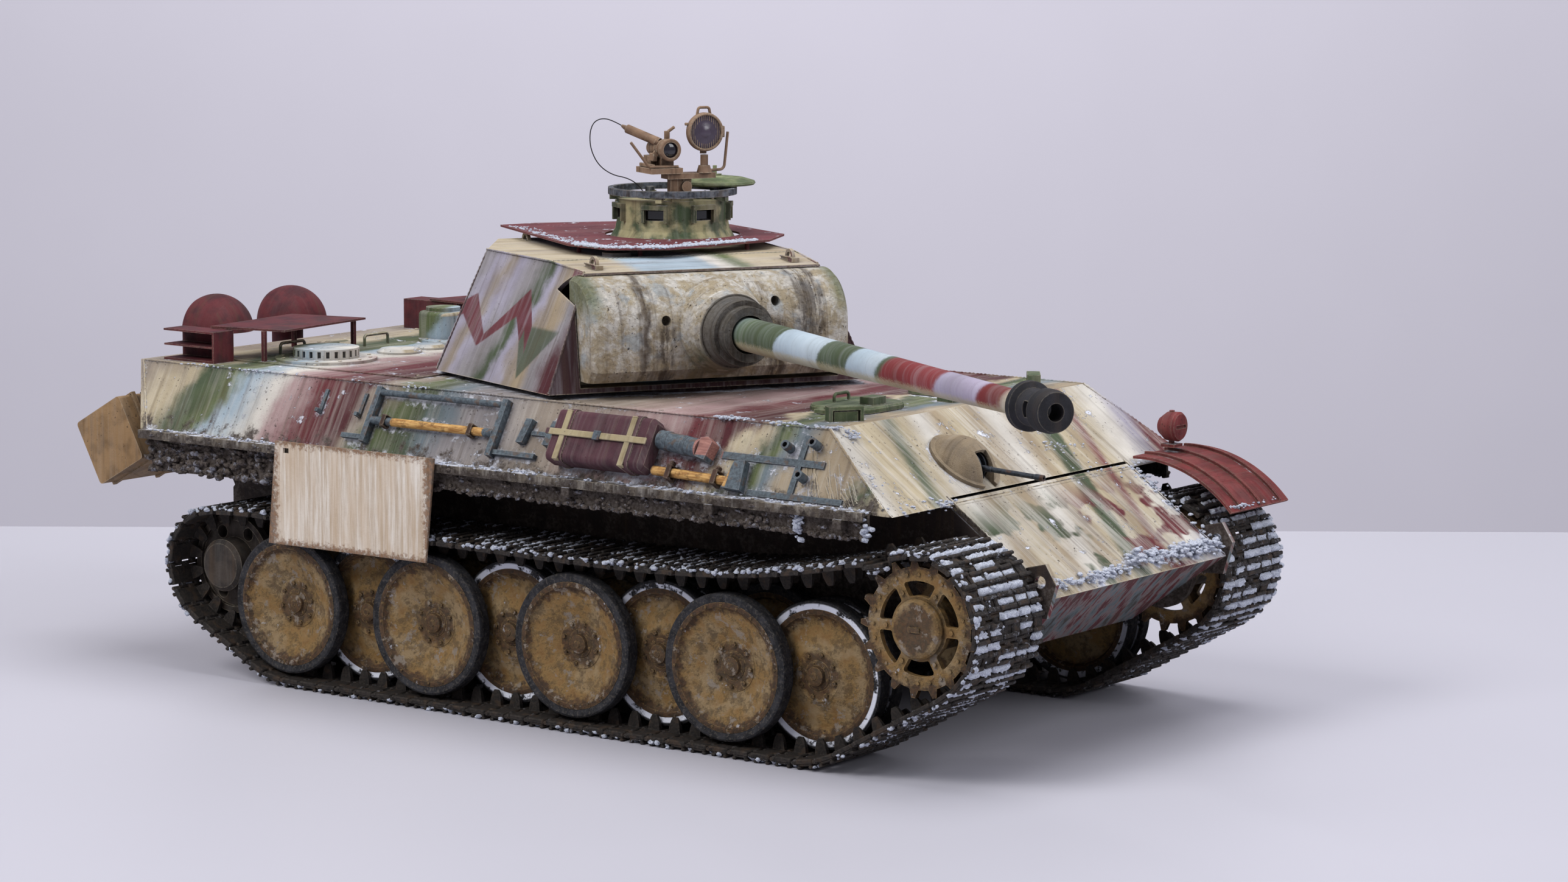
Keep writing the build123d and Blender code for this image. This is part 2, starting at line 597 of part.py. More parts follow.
def make_link():
    """One track shoe: plate, two cleats, two guide horns, grooves for the sprocket teeth."""
    length = LINK_PITCH - LINK_GAP
    half_w = TRACK_WIDTH / 2
    outside = -PLATE_T / 2
    plate = block(-length / 2, length / 2, -half_w, half_w, outside, PLATE_T / 2)
    for y in (TOOTH_LANES[0] - TRACK_Y, TOOTH_LANES[1] - TRACK_Y):
        plate -= block(-length, length, y - 1.9, y + 1.9, PLATE_T / 2 - 1.3, PLATE_T)
    for t in (-2.6, 2.0):
        plate += block(t - 0.5, t + 1.1, -half_w, half_w, outside - CLEAT_H, outside + 0.1)
    for low, high in HORN_LANES:
        horn = prism_y([(-2.6, PLATE_T / 2), (2.6, PLATE_T / 2), (1.2, PLATE_T / 2 + HORN_H),
                        (-1.2, PLATE_T / 2 + HORN_H)], low - TRACK_Y, high - TRACK_Y)
        plate += horn
    return plate


def make_track(side):
    """Every link of one track, as separate solids."""
    link = make_link()
    if side < 0:
        link = mirror(link, about=Plane.XZ)
    points = pin_points()
    links = []
    for index, (x0, z0) in enumerate(points):
        x1, z1 = points[(index + 1) % len(points)]
        middle = ((x0 + x1) / 2, side * TRACK_Y, (z0 + z1) / 2)
        along = (x1 - x0, 0, z1 - z0)
        inward = (-(z1 - z0), 0, x1 - x0)
        links.append(Plane(origin=middle, x_dir=along, z_dir=inward) * link)
    return links


def wheel_x(number):
    """Axle position, 1 at the front."""
    return WHEEL_FIRST_X - WHEEL_PITCH * (number - 1)


def disc_solids(lane, bulge):
    """Rubber tyre and pressed steel disc in one lane; bulge is the hub's offset from the lane's middle."""
    low, high = lane
    mid = (low + high) / 2
    tyre = spin_y([(RIM_R, low + 0.5), (TYRE_R - 0.7, low), (TYRE_R, low + 0.7), (TYRE_R, high - 0.7),
                   (TYRE_R - 0.7, high), (RIM_R, high - 0.5)])
    hub = mid + bulge
    disc = spin_y([(HUB_R, hub - 0.8), (9.0, hub - 0.8), (19.5, mid - 1.0), (21.6, low + 0.6),
                   (RIM_R, low + 0.6), (RIM_R, high - 0.6), (21.6, high - 0.6), (19.5, mid + 0.6),
                   (9.0, hub + 0.8), (HUB_R, hub + 0.8)])
    return [tyre, disc]


def bolt_circle(radius, count, bolt_r, y0, y1):
    """Bolt heads on a circle about Y."""
    bolts = []
    for step in range(count):
        angle = 2 * pi * step / count
        x, z = radius * cos(angle), radius * sin(angle)
        bolts.append(rod((x, y0, z), (x, y1, z), bolt_r))
    return bolts


def make_wheel(number, side):
    """A double road wheel. Odd axles carry the two middle discs, even axles the outermost and innermost."""
    odd = number % 2 == 1
    bore = AXLE_R + RUNNING_FIT
    if odd:
        solids = disc_solids(LANE_MID_OUTER, 2.6) + disc_solids(LANE_MID_INNER, -2.6)
        hub_low, hub_high, cap = 72.2, 90.2, 92.2
    else:
        solids = disc_solids(LANE_OUTER, -3.6) + disc_solids(LANE_INNER, 2.6)
        hub_low, hub_high, cap = 66.5, 93.0, 94.8
    hub = spin_y([(bore, hub_low), (HUB_R, hub_low), (HUB_R, hub_high), (3.4, cap), (0, cap),
                  (0, hub_high - 3.0),
                  (bore, hub_high - 3.0)])
    solids.append(hub)
    hub_face = 89.3 if odd else 92.2
    bolts = bolt_circle(7.6, 8, 0.75, hub_face - 0.4, hub_face + 1.1)
    if not odd:
        bolts += bolt_circle(22.3, 20, 0.5, LANE_OUTER[1] - 0.9, LANE_OUTER[1] - 0.1)
    solids[1] = solids[1].fuse(*bolts)
    placed = [Pos(wheel_x(number), 0, WHEEL_Z) * s for s in solids]
    return placed if side > 0 else mirrored(placed)


def tooth_ring(y):
    """A toothed ring with six windows between its spokes."""
    ring = Cylinder(SPROCKET_ROOT_R, 2.2) - Cylinder(8.0, 3)
    tooth = prism_z([(SPROCKET_ROOT_R - 1.4, -2.3), (SPROCKET_TIP_R, -0.8), (SPROCKET_TIP_R, 0.8),
                     (SPROCKET_ROOT_R - 1.4, 2.3)], -1.1, 1.1)
    for step in range(SPROCKET_TEETH):
        ring += Rot(0, 0, 360 / SPROCKET_TEETH * (step + 0.5)) * tooth
    windows = Cylinder(WINDOW_OUT_R, 4) - Cylinder(WINDOW_IN_R, 5)
    for step in range(3):
        windows -= Rot(0, 0, 60 * step) * Box(60, SPOKE_WIDTH, 5)
    windows = fillet(windows.edges().filter_by(Axis.Z), 0.9)
    return Pos(0, y, 0) * Rot(-90, 0, 0) * (ring - windows)


def make_sprocket(side):
    """Drive sprocket: two toothed rings on a drum, hub cap and shaft."""
    drum = spin_y([(AXLE_R - 0.5, 64.9), (10.4, 64.9), (10.4, 67.1), (9.0, 74.0), (9.0, 90.0), (10.4, 95.9),
                   (10.4, 99.4), (9.8, 100.4), (8.8, 101.0), (0, 101.0), (0, 64.9)])
    drum += block(-2.3, 2.3, 100.9, 101.6, -0.9, 0.9)
    shaft = rod((0, 50.0, 0), (0, 65.5, 0), AXLE_R)
    body = drum + shaft + tooth_ring(TOOTH_LANES[0]) + tooth_ring(TOOTH_LANES[1])
    bolts = bolt_circle(18.9, 24, 0.55, 97.8, 98.6) + bolt_circle(13.6, 6, 0.8, 97.8, 98.8)
    solids = [body.fuse(*bolts)]
    placed = [Pos(SPROCKET_X, 0, SPROCKET_Z) * s for s in solids]
    return placed if side > 0 else mirrored(placed)


def make_idler(side):
    """Rear idler: two rims, spoked drum and a long hub cap."""
    low, high = IDLER_LANE
    body = spin_y([(AXLE_R + RUNNING_FIT, low), (9.0, low), (9.0, low + 1.8), (17.0, low + 1.8),
                   (17.0, low),
                   (IDLER_R, low), (IDLER_R, low + 3.4), (17.6, low + 3.4), (17.6, high - 3.4),
                   (IDLER_R, high - 3.4), (IDLER_R, high), (17.0, high), (17.0, high - 1.4),
                   (10.2, high - 1.4), (10.2, 94.2), (8.6, 95.6),
                   (0, 95.6), (0, 87.0), (AXLE_R + RUNNING_FIT, 87.0)])
    for step in range(6):
        angle = radians(60 * step)
        centre = (13.6 * cos(angle), 0, 13.6 * sin(angle))
        body -= Pos(centre[0], 82, centre[2]) * Rot(90, 0, 0) * Cylinder(2.5, 30)
    placed = [Pos(IDLER_X, 0, IDLER_Z) * body]
    return placed if side > 0 else mirrored(placed)


def make_swing_arms():
    """Trailing arms with stub axles for the wheels, and the idler cranks."""
    arms = []
    for number in range(1, WHEEL_COUNT + 1):
        x = wheel_x(number)
        pivot = (x + 13.0, 41.0)
        reach = 86.0 if number % 2 else 88.5
        arm = rod((pivot[0], TUB_HALF + 0.02, pivot[1]), (pivot[0], 62.6, pivot[1]), 4.6)
        arm += rod((x, 59.6, WHEEL_Z), (x, 62.6, WHEEL_Z), 4.4)
        web = prism_y([(pivot[0] - 2.0, pivot[1] + 3.6), (pivot[0] + 2.0, pivot[1] - 3.6),
                       (x + 1.6, WHEEL_Z - 3.4),
                       (x - 1.6, WHEEL_Z + 3.4)], 59.6, 62.4)
        stub = rod((x, 62.6, WHEEL_Z), (x, reach, WHEEL_Z), AXLE_R)
        arms.append(arm + web + stub)
    crank = rod((IDLER_X, TUB_HALF + 0.02, IDLER_Z), (IDLER_X, 64.0, IDLER_Z), 7.5)
    crank += rod((IDLER_X, 64.0, IDLER_Z), (IDLER_X, 86.6, IDLER_Z), AXLE_R)
    arms.append(crank)
    return both_sides(arms)


def make_final_drives():
    """Housings on the hull sides that carry the sprocket shafts."""
    body = spin_y([(AXLE_R + RUNNING_FIT, TUB_HALF + 0.02), (14.5, TUB_HALF + 0.02), (14.5, 61.0),
                   (11.0, 64.0),
                   (AXLE_R + RUNNING_FIT, 64.0)])
    body += block(-26, -6, TUB_HALF + 0.02, 61.0, -8, 8)
    body -= rod((0, 50, 0), (0, 70, 0), AXLE_R + RUNNING_FIT)
    return both_sides([Pos(SPROCKET_X, 0, SPROCKET_Z) * body])


# ---------------------------------------------------------------- insides


def make_gear_motors():
    """Two geared motors; each socket takes one sprocket shaft."""
    box = block(146, 176, 22, 55.9, 51.2, 62.0)
    box -= rod((SPROCKET_X, 46, SPROCKET_Z), (SPROCKET_X, 70, SPROCKET_Z), AXLE_R + RUNNING_FIT)
    motor = rod((112, 34, 56.5), (146, 34, 56.5), 9.0)
    return both_sides([box + motor])


def make_battery():
    """Battery pack on the belly hatch."""
    return [fillet(block(-55, 15, -22, 22, 37.6, 62).edges().filter_by(Axis.X), 3.0)]


def make_control_board():
    """Receiver and motor controller board."""
    board = block(-150, -85, -35, 35, 52, 53.6)
    for x, y, w in ((-140, -20, 10), (-120, 5, 14), (-105, -25, 8), (-98, 20, 9)):
        board += block(x, x + w, y, y + w, 53.6, 58.0)
    for x in (-146, -89):
        for y in (-31, 31):
            board += rod((x, y, BELLY_Z + WALL), (x, y, 52.2), 2.0)
    return [board]


def make_traverse_motor():
    """Turret motor with its pinion, under the deck."""
    body = block(34, 52, -9, 9, 96, 112) + rod((40, 0, 96), (40, 0, 80), 8.0)
    bracket = block(52, 60, -9, 9, 110, 115.98)
    return [body + bracket]


# ---------------------------------------------------------------- turret


def shrink(points, inset):
    """An outline moved towards the ring centre."""
    return [(a * (1 - inset / 60), b * (1 - inset / 60)) for a, b in points]


def turret_block(inset, low, high):
    """Solid turret body between two heights, with the wall taken off."""
    share = (high - TURRET_Z) / (ROOF_Z - TURRET_Z)
    top = [(b[0] + (r[0] - b[0]) * share, b[1] + (r[1] - b[1]) * share)
           for b, r in zip(BASE_OUTLINE, ROOF_OUTLINE)]
    share = (low - TURRET_Z) / (ROOF_Z - TURRET_Z)
    base = [(b[0] + (r[0] - b[0]) * share, b[1] + (r[1] - b[1]) * share)
            for b, r in zip(BASE_OUTLINE, ROOF_OUTLINE)]
    low_face = Plane.XY.offset(low) * make_face(Polyline(*shrink(base, inset), close=True))
    high_face = Plane.XY.offset(high) * make_face(Polyline(*shrink(top, inset), close=True))
    return loft([low_face, high_face], ruled=True)


def make_turret_shell():
    """Turret walls, roof and floor with the bearing ring, roof fittings and lifting hooks."""
    shell = turret_block(0, TURRET_Z, ROOF_Z)
    shell -= prism_y([(20, ROOF_Z), (47, ROOF_FRONT_Z - 0.4), (60, 162), (60, 170), (20, 170)], -80, 80)
    shell -= turret_block(2.6, TURRET_Z + 2.0, ROOF_Z - 2.6)
    shell -= rod((TRUNNION_A, -MANTLET_HALF - 0.4, GUN_Z), (TRUNNION_A, MANTLET_HALF + 0.4, GUN_Z),
                 MANTLET_R + 0.35)
    shell -= block(36, 75, -MANTLET_HALF - 0.4, MANTLET_HALF + 0.4, TURRET_Z + 1.9, GUN_Z)
    shell -= Pos(0, 0, TURRET_Z) * Cylinder(RING_R - 4, 8)
    shell += Pos(0, 0, TURRET_Z - 7.5) * (Cylinder(RING_R, 8.4,
                                                   align=(Align.CENTER, Align.CENTER, Align.MIN))
                                          - Cylinder(RING_R - 4, 20))
    shell -= Pos(CUPOLA_A, CUPOLA_B, ROOF_Z) * Cylinder(17.5, 8)
    for a, b in ((37, -40), (37, 40), (-66, -27), (-66, 27)):
        hook = Pos(a, b, 165.0) * Box(10, 3.2, 1.6)
        hook += Pos(a, b, 165.6) * Rot(90, 0, 0) * (Cylinder(3.4, 1.3) - Cylinder(2.2, 2))
        shell += hook
    shell += rod((28, 62.2, 155), (28, 54.0, 152.0), 1.3)
    shell += Pos(10, -20, ROOF_Z + 0.6) * Cylinder(5.5, 1.6)
    hatch = Pos(-79.4, 0, 143) * Rot(0, -104, 0) * Cylinder(13, 2.4)
    return [on_turret(shell + hatch)]


def make_mantlet():
    """Curved shield with a chin, a cone and a collar round the gun, and two sight holes."""
    c, r = TRUNNION_A, MANTLET_R
    top = radians(100)
    arc = ThreePointArc((c + r * cos(top), GUN_Z + r * sin(top)),
                        (c + r * cos(radians(48)), GUN_Z + r * sin(radians(48))),
                        (c + r, GUN_Z))
    rest = Polyline((c + r, GUN_Z), (MANTLET_FRONT_A, 128.6), (61.6, 124.5), (46.0, 124.5), (43.0, 130.0),
                    (c + r * cos(top), GUN_Z + r * sin(top)))
    face = make_face([arc, rest])
    body = extrude(Plane.XZ.offset(MANTLET_HALF) * face, amount=-2 * MANTLET_HALF)
    ends = body.faces().sort_by(Axis.Y)
    body = chamfer(ends[0].edges().sort_by(Axis.X)[-2:] + ends[-1].edges().sort_by(Axis.X)[-2:], 1.6)
    cone = rod((60.0, 0, GUN_Z), (76.0, 0, GUN_Z), 18.5, 13.6)
    collar = rod((74.0, 0, GUN_Z), (84.0, 0, GUN_Z), 13.2, 12.2) + rod((84.0, 0, GUN_Z),
                                                                       (SLEEVE_A, 0, GUN_Z), 10.2)
    body = body + cone + collar
    body -= rod((30, 0, GUN_Z), (95, 0, GUN_Z), BARREL_ROOT_R + 0.9)
    body -= rod((60, -22.5, GUN_Z + 3.6), (70, -22.5, GUN_Z + 3.6), 1.9)
    body -= rod((56, 22.5, GUN_Z + 9.0), (70, 22.5, GUN_Z + 9.0), 1.9)
    return [on_turret(body)]


def make_gun():
    """Tapered barrel with its breech block, and the muzzle brake."""
    barrel = rod((32.0, 0, GUN_Z), (110.0, 0, GUN_Z), BARREL_ROOT_R)
    barrel += rod((110.0, 0, GUN_Z), (BARREL_END_A, 0, GUN_Z), BARREL_ROOT_R, BARREL_TIP_R)
    barrel += block(22.0, 36.0, -8, 8, GUN_Z - 8, GUN_Z + 8)
    barrel -= rod((200.0, 0, GUN_Z), (BARREL_END_A + 1, 0, GUN_Z), BORE_R)
    profile = [(BORE_R, 0), (5.4, 0), (5.4, 2.2), (8.2, 2.2), (8.2, 4.6), (6.2, 5.6), (5.4, 8.0),
               (5.4, 13.4), (7.1, 14.6),
               (7.1, 18.6), (6.5, 21.4), (BORE_R, 21.4)]
    brake = Pos(BARREL_END_A, 0, GUN_Z) * Rot(0, 90, 0) * spin_z(profile)
    brake -= block(BARREL_END_A + 8.8, BARREL_END_A + 12.8, -12, 12, GUN_Z - 2.6, GUN_Z + 2.6)
    return [on_turret(barrel)], [on_turret(brake)]


def make_cupola():
    """Cast drum with a flared foot, periscope windows, inner cable socket and the steel ring on brackets."""
    base = ROOF_Z + 0.02
    drum = spin_z([(17.0, base), (25.4, base), (25.0, base + 1.6), (22.4, base + 6.0), (21.8, base + 9.0),
                   (21.8, CUPOLA_TOP_Z),
                   (HATCH_R + 0.5, CUPOLA_TOP_Z), (HATCH_R + 0.5, CUPOLA_TOP_Z - 2.0),
                   (17.0, CUPOLA_TOP_Z - 2.0)])
    for step in range(7):
        turn = Rot(0, 0, 360 / 7 * step + 10)
        drum -= turn * block(19.4, 24, -3.9, 3.9, 176.4, 180.6)
        drum += turn * (block(21.0, 23.4, -4.9, 4.9, 180.6, 182.4)
                        + block(21.0, 23.2, -5.1, -4.0, 175.6, 182.4)
                        + block(21.0, 23.2, 4.0, 5.1, 175.6, 182.4))
    ring = Pos(0, 0, CUPOLA_RING_Z) * (Cylinder(25.2, 2.6, align=(Align.CENTER, Align.CENTER, Align.MIN))
                                       - Cylinder(23.2, 9))
    for step in range(5):
        ring += Rot(0, 0, 72 * step + 36) * block(20.6, 24.6, -1.2, 1.2, CUPOLA_TOP_Z - 0.6,
                                                  CUPOLA_RING_Z + 1.2)
    shape = drum + ring
    pivot = (LID_PIVOT[0] - CUPOLA_A, LID_PIVOT[1] - CUPOLA_B)
    shape += rod((*pivot, CUPOLA_TOP_Z - 1.0), (*pivot, CUPOLA_TOP_Z + 3.6), 1.5)
    shape += Pos(17.5, -4.6, CUPOLA_TOP_Z + 0.4) * Box(6.6, 9.0, 1.2)
    end = cord_points()[-1]
    before = cord_points()[-2]
    socket = rod((0, 0, 0), (3.2, 0, 0), 0.9)
    heading = Vector(*end) - Vector(*before)
    placed = Plane(origin=end, z_dir=heading) * Rot(0, -90, 0) * socket
    return [on_turret(Pos(CUPOLA_A, CUPOLA_B, 0) * shape), placed]


def make_cupola_hatch():
    """Domed lid on a swivel post, resting open to port."""
    z = CUPOLA_RING_Z + 2.95
    pivot_a, pivot_b = LID_PIVOT
    reach = hypot(CUPOLA_A - pivot_a, CUPOLA_B - pivot_b)
    dome = spin_z([(0, z + 0.2), (LID_R - 0.6, z + 0.2), (LID_R, z + 0.9), (LID_R - 0.4, z + 1.7),
                   (11.5, z + 2.9),
                   (6.0, z + 3.5), (0, z + 3.5)])
    dome += Pos(0, 0, z + 5.4) * Cylinder(0.8, 4.4)
    dome += block(-3.6, 3.6, -0.6, 0.6, z + 3.3, z + 4.2)
    lid = Pos(0, -reach, 0) * dome
    arm = block(-2.2, 2.2, -reach, 0, z + 0.3, z + 1.9)
    boss = rod((0, 0, CUPOLA_TOP_Z + 3.62), (0, 0, z + 2.4), 2.4)
    lid = lid + arm + boss
    placed = Pos(pivot_a, pivot_b, 0) * Rot(0, 0, LID_OPEN + 90) * lid
    return [on_turret(placed)]


def make_roof_shield():
    """Thin plate on posts over the turret roof, cut out round the cupola."""
    outline = [(-92, -28), (-4, -34), (18, -27), (26, -5), (9, 44), (-12, 60), (-62, 58), (-88, 30),
               (-95, -12)]
    plate = prism_z(outline, ROOF_Z + 3.0, ROOF_Z + 3.8)
    plate -= Pos(CUPOLA_A, CUPOLA_B, ROOF_Z) * Cylinder(26.4, 20)
    for a, b in ((-66, -20), (-8, -28), (14, -12), (6, 36), (-62, 24)):
        foot = ROOF_Z + 0.02 if a < 20 else ROOF_FRONT_Z
        plate += rod((a, b, foot), (a, b, ROOF_Z + 3.2), 0.9)
    return [on_turret(plate)]


# ---------------------------------------------------------------- night sight


def make_ir_bracket():
    """Post, cross plate, tray and two bent guard rods."""
    base = CUPOLA_TOP_Z + 1.02
    post = block(POST_A - 1.6, POST_A + 1.6, POST_B - 4.4, POST_B - 1.2, base, TRAY_Z)
    post += block(POST_A - 1.6, POST_A + 1.6, POST_B + 1.2, POST_B + 4.4, base, TRAY_Z)
    post += block(POST_A - 1.2, POST_A + 1.2, POST_B - 4.4, POST_B + 4.4, base + 2.2, TRAY_Z)
    post += rod((POST_A + 1.0, POST_B + 2.2, 189.6), (POST_A + 2.4, POST_B + 2.2, 189.6), 2.1)
    plate = prism_z([(POST_A - 4, POST_B - 6), (POST_A + 3, POST_B - 6), (POST_A + 3, POST_B + 6),
                     (POST_A + 2, POST_B + 14.5), (POST_A - 3, POST_B + 14.5),
                      (POST_A - 4, POST_B + 6)], TRAY_Z, TRAY_Z + 2.2)
    tray = block(POST_A - 11, POST_A + 4.5, POST_B - 13.5, POST_B - 0.4, TRAY_Z + 2.2, TRAY_Z + 4.4)
    pedestal = rod((LAMP[0], LAMP[1], TRAY_Z + 2.2), (LAMP[0], LAMP[1], TRAY_Z + 5.0), 3.0, 2.2)
    pedestal += rod((LAMP[0], LAMP[1], TRAY_Z + 5.0), (LAMP[0], LAMP[1], LAMP[2] - LAMP_R - 1.4), 1.5)
    left = bent_rod([(POST_A + 3.6, POST_B - 2, TRAY_Z + 4.9), (POST_A + 3.6, POST_B - 14.2, TRAY_Z + 5.0),
                     (POST_A + 1.6, POST_B - 21.0, TRAY_Z + 14.6)], 1.6)
    right = bent_rod([(POST_A + 2.0, POST_B + 8.0, TRAY_Z + 2.8),
                      (POST_A + 0.5, POST_B + 18.6, TRAY_Z + 3.2),
                      (POST_A - 0.5, POST_B + 20.6, TRAY_Z + 17.6)], 2.2)
    return [on_turret(post + plate + tray + pedestal + left + right)]


def bent_rod(points, bend):
    """A round rod along straight runs with bends."""
    wire = FilletPolyline(*points, radius=bend)
    profile = Plane(origin=wire @ 0, z_dir=wire % 0) * Circle(0.55)
    return sweep(profile, path=wire)


def make_ir_scope():
    """Viewer: stepped main tube with lens, a slanted converter tube and a battery case."""
    plane = Plane(origin=(POST_A + 4.4, SCOPE_B, SCOPE_Z), x_dir=(0, 1, 0), z_dir=(1, 0, 0))
    tube = plane * spin_z([(0, -17), (3.0, -17), (3.4, -12), (3.0, -11.4), (3.0, -7), (3.9, -6),
                           (3.9, -1.6),
                           (4.2, -1.4), (4.2, 0.4), (3.0, 0.4), (3.0, -0.8), (0, -0.8)])
    saddle = block(POST_A - 9, POST_A + 1.5, SCOPE_B - 2.6, SCOPE_B + 2.6, TRAY_Z + 4.42, SCOPE_Z - 2.0)
    case = block(POST_A - 10, POST_A - 3, SCOPE_B - 5.2, SCOPE_B - 2.0, TRAY_Z + 5.2, SCOPE_Z - 2.6)
    slanted = rod((POST_A - 4.0, SCOPE_B - 1.0, SCOPE_Z + 2.4), plug_seat(), 1.75)
    knob = rod((POST_A - 1.5, SCOPE_B + 1.0, SCOPE_Z + 3.0), (POST_A - 1.5, SCOPE_B + 1.0, SCOPE_Z + 7.0),
               1.1)
    lever = rod((POST_A - 1.5, SCOPE_B + 1.0, SCOPE_Z + 6.4),
                (POST_A + 0.2, SCOPE_B + 3.4, SCOPE_Z + 8.6), 0.6)
    return [on_turret(tube + saddle + case + slanted + knob + lever)]


def make_ir_searchlight():
    """Round infrared lamp with ribbed glass, rim and a carrying handle, tilting on its neck."""
    plane = Plane(origin=LAMP, x_dir=(0, 1, 0), z_dir=(1, 0, 0))
    body = plane * spin_z([(0, -6.2), (3.0, -6.0), (5.6, -4.0), (6.9, -1.2), (7.4, -0.6), (LAMP_R, 1.4),
                           (6.6, 1.8),
                           (6.5, 0.9), (0, 0.9)])
    for step in range(-7, 8):
        b = 0.84 * step
        half = (6.3 ** 2 - b ** 2) ** 0.5
        body += block(LAMP[0] + 0.8, LAMP[0] + 1.3, LAMP[1] + b - 0.2, LAMP[1] + b + 0.2, LAMP[2] - half,
                      LAMP[2] + half)
    neck = rod((LAMP[0] - 1, LAMP[1], LAMP[2] - LAMP_R - 1.0),
               (LAMP[0] - 1, LAMP[1], LAMP[2] - LAMP_R + 1.2), 1.3)
    handle = bent_rod([(LAMP[0] - 0.6, LAMP[1] - 2.8, LAMP[2] + 6.4),
                       (LAMP[0] - 0.6, LAMP[1] - 2.2, LAMP[2] + 9.4),
                       (LAMP[0] - 0.6, LAMP[1] + 2.2, LAMP[2] + 9.4),
                       (LAMP[0] - 0.6, LAMP[1] + 2.8, LAMP[2] + 6.4)], 1.1)
    return [on_turret(body + neck + handle)]


def plug_seat():
    """Where the connector's back sits on the viewer's slanted tube, in the turret frame."""
    start = Vector(*cord_points()[0])
    heading = (start - Vector(*cord_points()[1])).normalized()
    back = start + heading * PLUG_LENGTH - Vector(TURRET_X, 0, 0)
    turned = back.rotate(Axis.Z, -TURRET_YAW)
    return (turned.X, turned.Y, turned.Z)


def cord_points():
    """The cable's route from its connector to the socket inside the cupola."""
    return [
        (-48.6, 14.6, 212.4),
        (-51.6, 12.6, 214.4),
        (-55.2, 10.6, 215.2),
        (-58.6, 9.4, 213.4),
        (-60.6, 9.6, 208.6),
        (-61.0, 11.0, 202.4),
        (-59.6, 14.0, 196.4),
        (-56.2, 18.2, 192.6),
        (-51.8, 22.4, 191.4),
        (-48.6, 25.4, 188.6),
        (-46.6, 27.4, 184.2),
        (-46.9, 27.3, 180.6),
        (-50.6, 24.9, 179.6),
    ]


def make_ir_cord():
    """Black rubber cable: straight runs joined by the largest arcs that fit."""
    points = [Vector(*p) for p in cord_points()]
    radii = []
    for before, here, after in zip(points, points[1:], points[2:]):
        first = here - before
        second = after - here
        turn = radians(first.get_angle(second))
        radii.append(0.45 * min(first.length, second.length) / tan(turn / 2))
    print("cord radii", [round(r, 2) for r in radii])
    wire = FilletPolyline(*points, radius=radii)
    profile = Plane(origin=wire @ 0, z_dir=wire % 0) * Circle(CORD_R)
    tube = sweep(profile, path=wire)
    print("cord length", round(wire.length, 2), "volume share",
          round(tube.volume / (pi * CORD_R ** 2 * wire.length), 3))
    return [tube]


def make_ir_plug():
    """Rubber connector between the viewer's slanted tube and the cable."""
    start = Vector(*cord_points()[0])
    heading = start - Vector(*cord_points()[1])
    plane = Plane(origin=start, z_dir=heading)
    boot = plane * Cone(0.5, 1.2, PLUG_LENGTH, align=(Align.CENTER, Align.CENTER, Align.MIN))
    return [boot]


def main():
    os.makedirs("parts", exist_ok=True)
    save("upper_hull", [make_upper_hull()])
    save("lower_hull", [make_lower_hull()])
    save("battery_cover", make_battery_cover())
    save("power_switch", make_power_switch())
    save("engine_deck", make_engine_deck())
    save("deck_shields", make_deck_shields())
    save("exhaust_cowls", make_exhaust_cowls())
    save("rear_bins", make_rear_bins())
    save("fender_rails", make_fender_rails())
    save("side_skirt", make_side_skirt())
    save("front_mudguard", make_front_mudguard())
    save("headlight", make_headlight())
    save("ball_socket", make_ball_socket())
    mg_ball, mg_barrel = make_hull_gun()
    save("mg_ball", mg_ball)
    save("mg_barrel", mg_barrel)
    save("driver_hatch", make_hull_hatch(1))
    save("radio_hatch", make_hull_hatch(-1))
    save("hull_periscopes", make_hull_periscopes())
    save("tool_rack", make_tool_rack() + make_cleaning_tube())
    save("hand_axe", make_hand_axe())
    save("stowage_crate", make_crate())
    for name, side in (("right", -1), ("left", 1)):
        save(f"track_{name}", make_track(side))
        save(f"sprocket_{name}", make_sprocket(side))
        save(f"idler_{name}", make_idler(side))
        for number in range(1, WHEEL_COUNT + 1):
            save(f"wheel_{name[0]}{number}", make_wheel(number, side))
    save("swing_arms", make_swing_arms())
    save("final_drives", make_final_drives())
    save("gear_motors", make_gear_motors())
    save("battery_pack", make_battery())
    save("control_board", make_control_board())
    save("traverse_motor", make_traverse_motor())
    save("turret_shell", make_turret_shell())
    save("mantlet", make_mantlet())
    gun_barrel, muzzle_brake = make_gun()
    save("gun_barrel", gun_barrel)
    save("muzzle_brake", muzzle_brake)
    save("cupola", make_cupola())
    save("cupola_hatch", make_cupola_hatch())
    save("roof_shield", make_roof_shield())
    save("ir_bracket", make_ir_bracket())
    save("ir_scope", make_ir_scope() + make_ir_plug())
    save("ir_searchlight", make_ir_searchlight())
    save("ir_cord", make_ir_cord())


main()
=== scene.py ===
"""Visual model of a 1/16 radio-controlled tank in snowy winter camouflage, built round the CAD frame."""
import math

import bmesh
import bpy
import numpy as np
from mathutils import Matrix, Vector


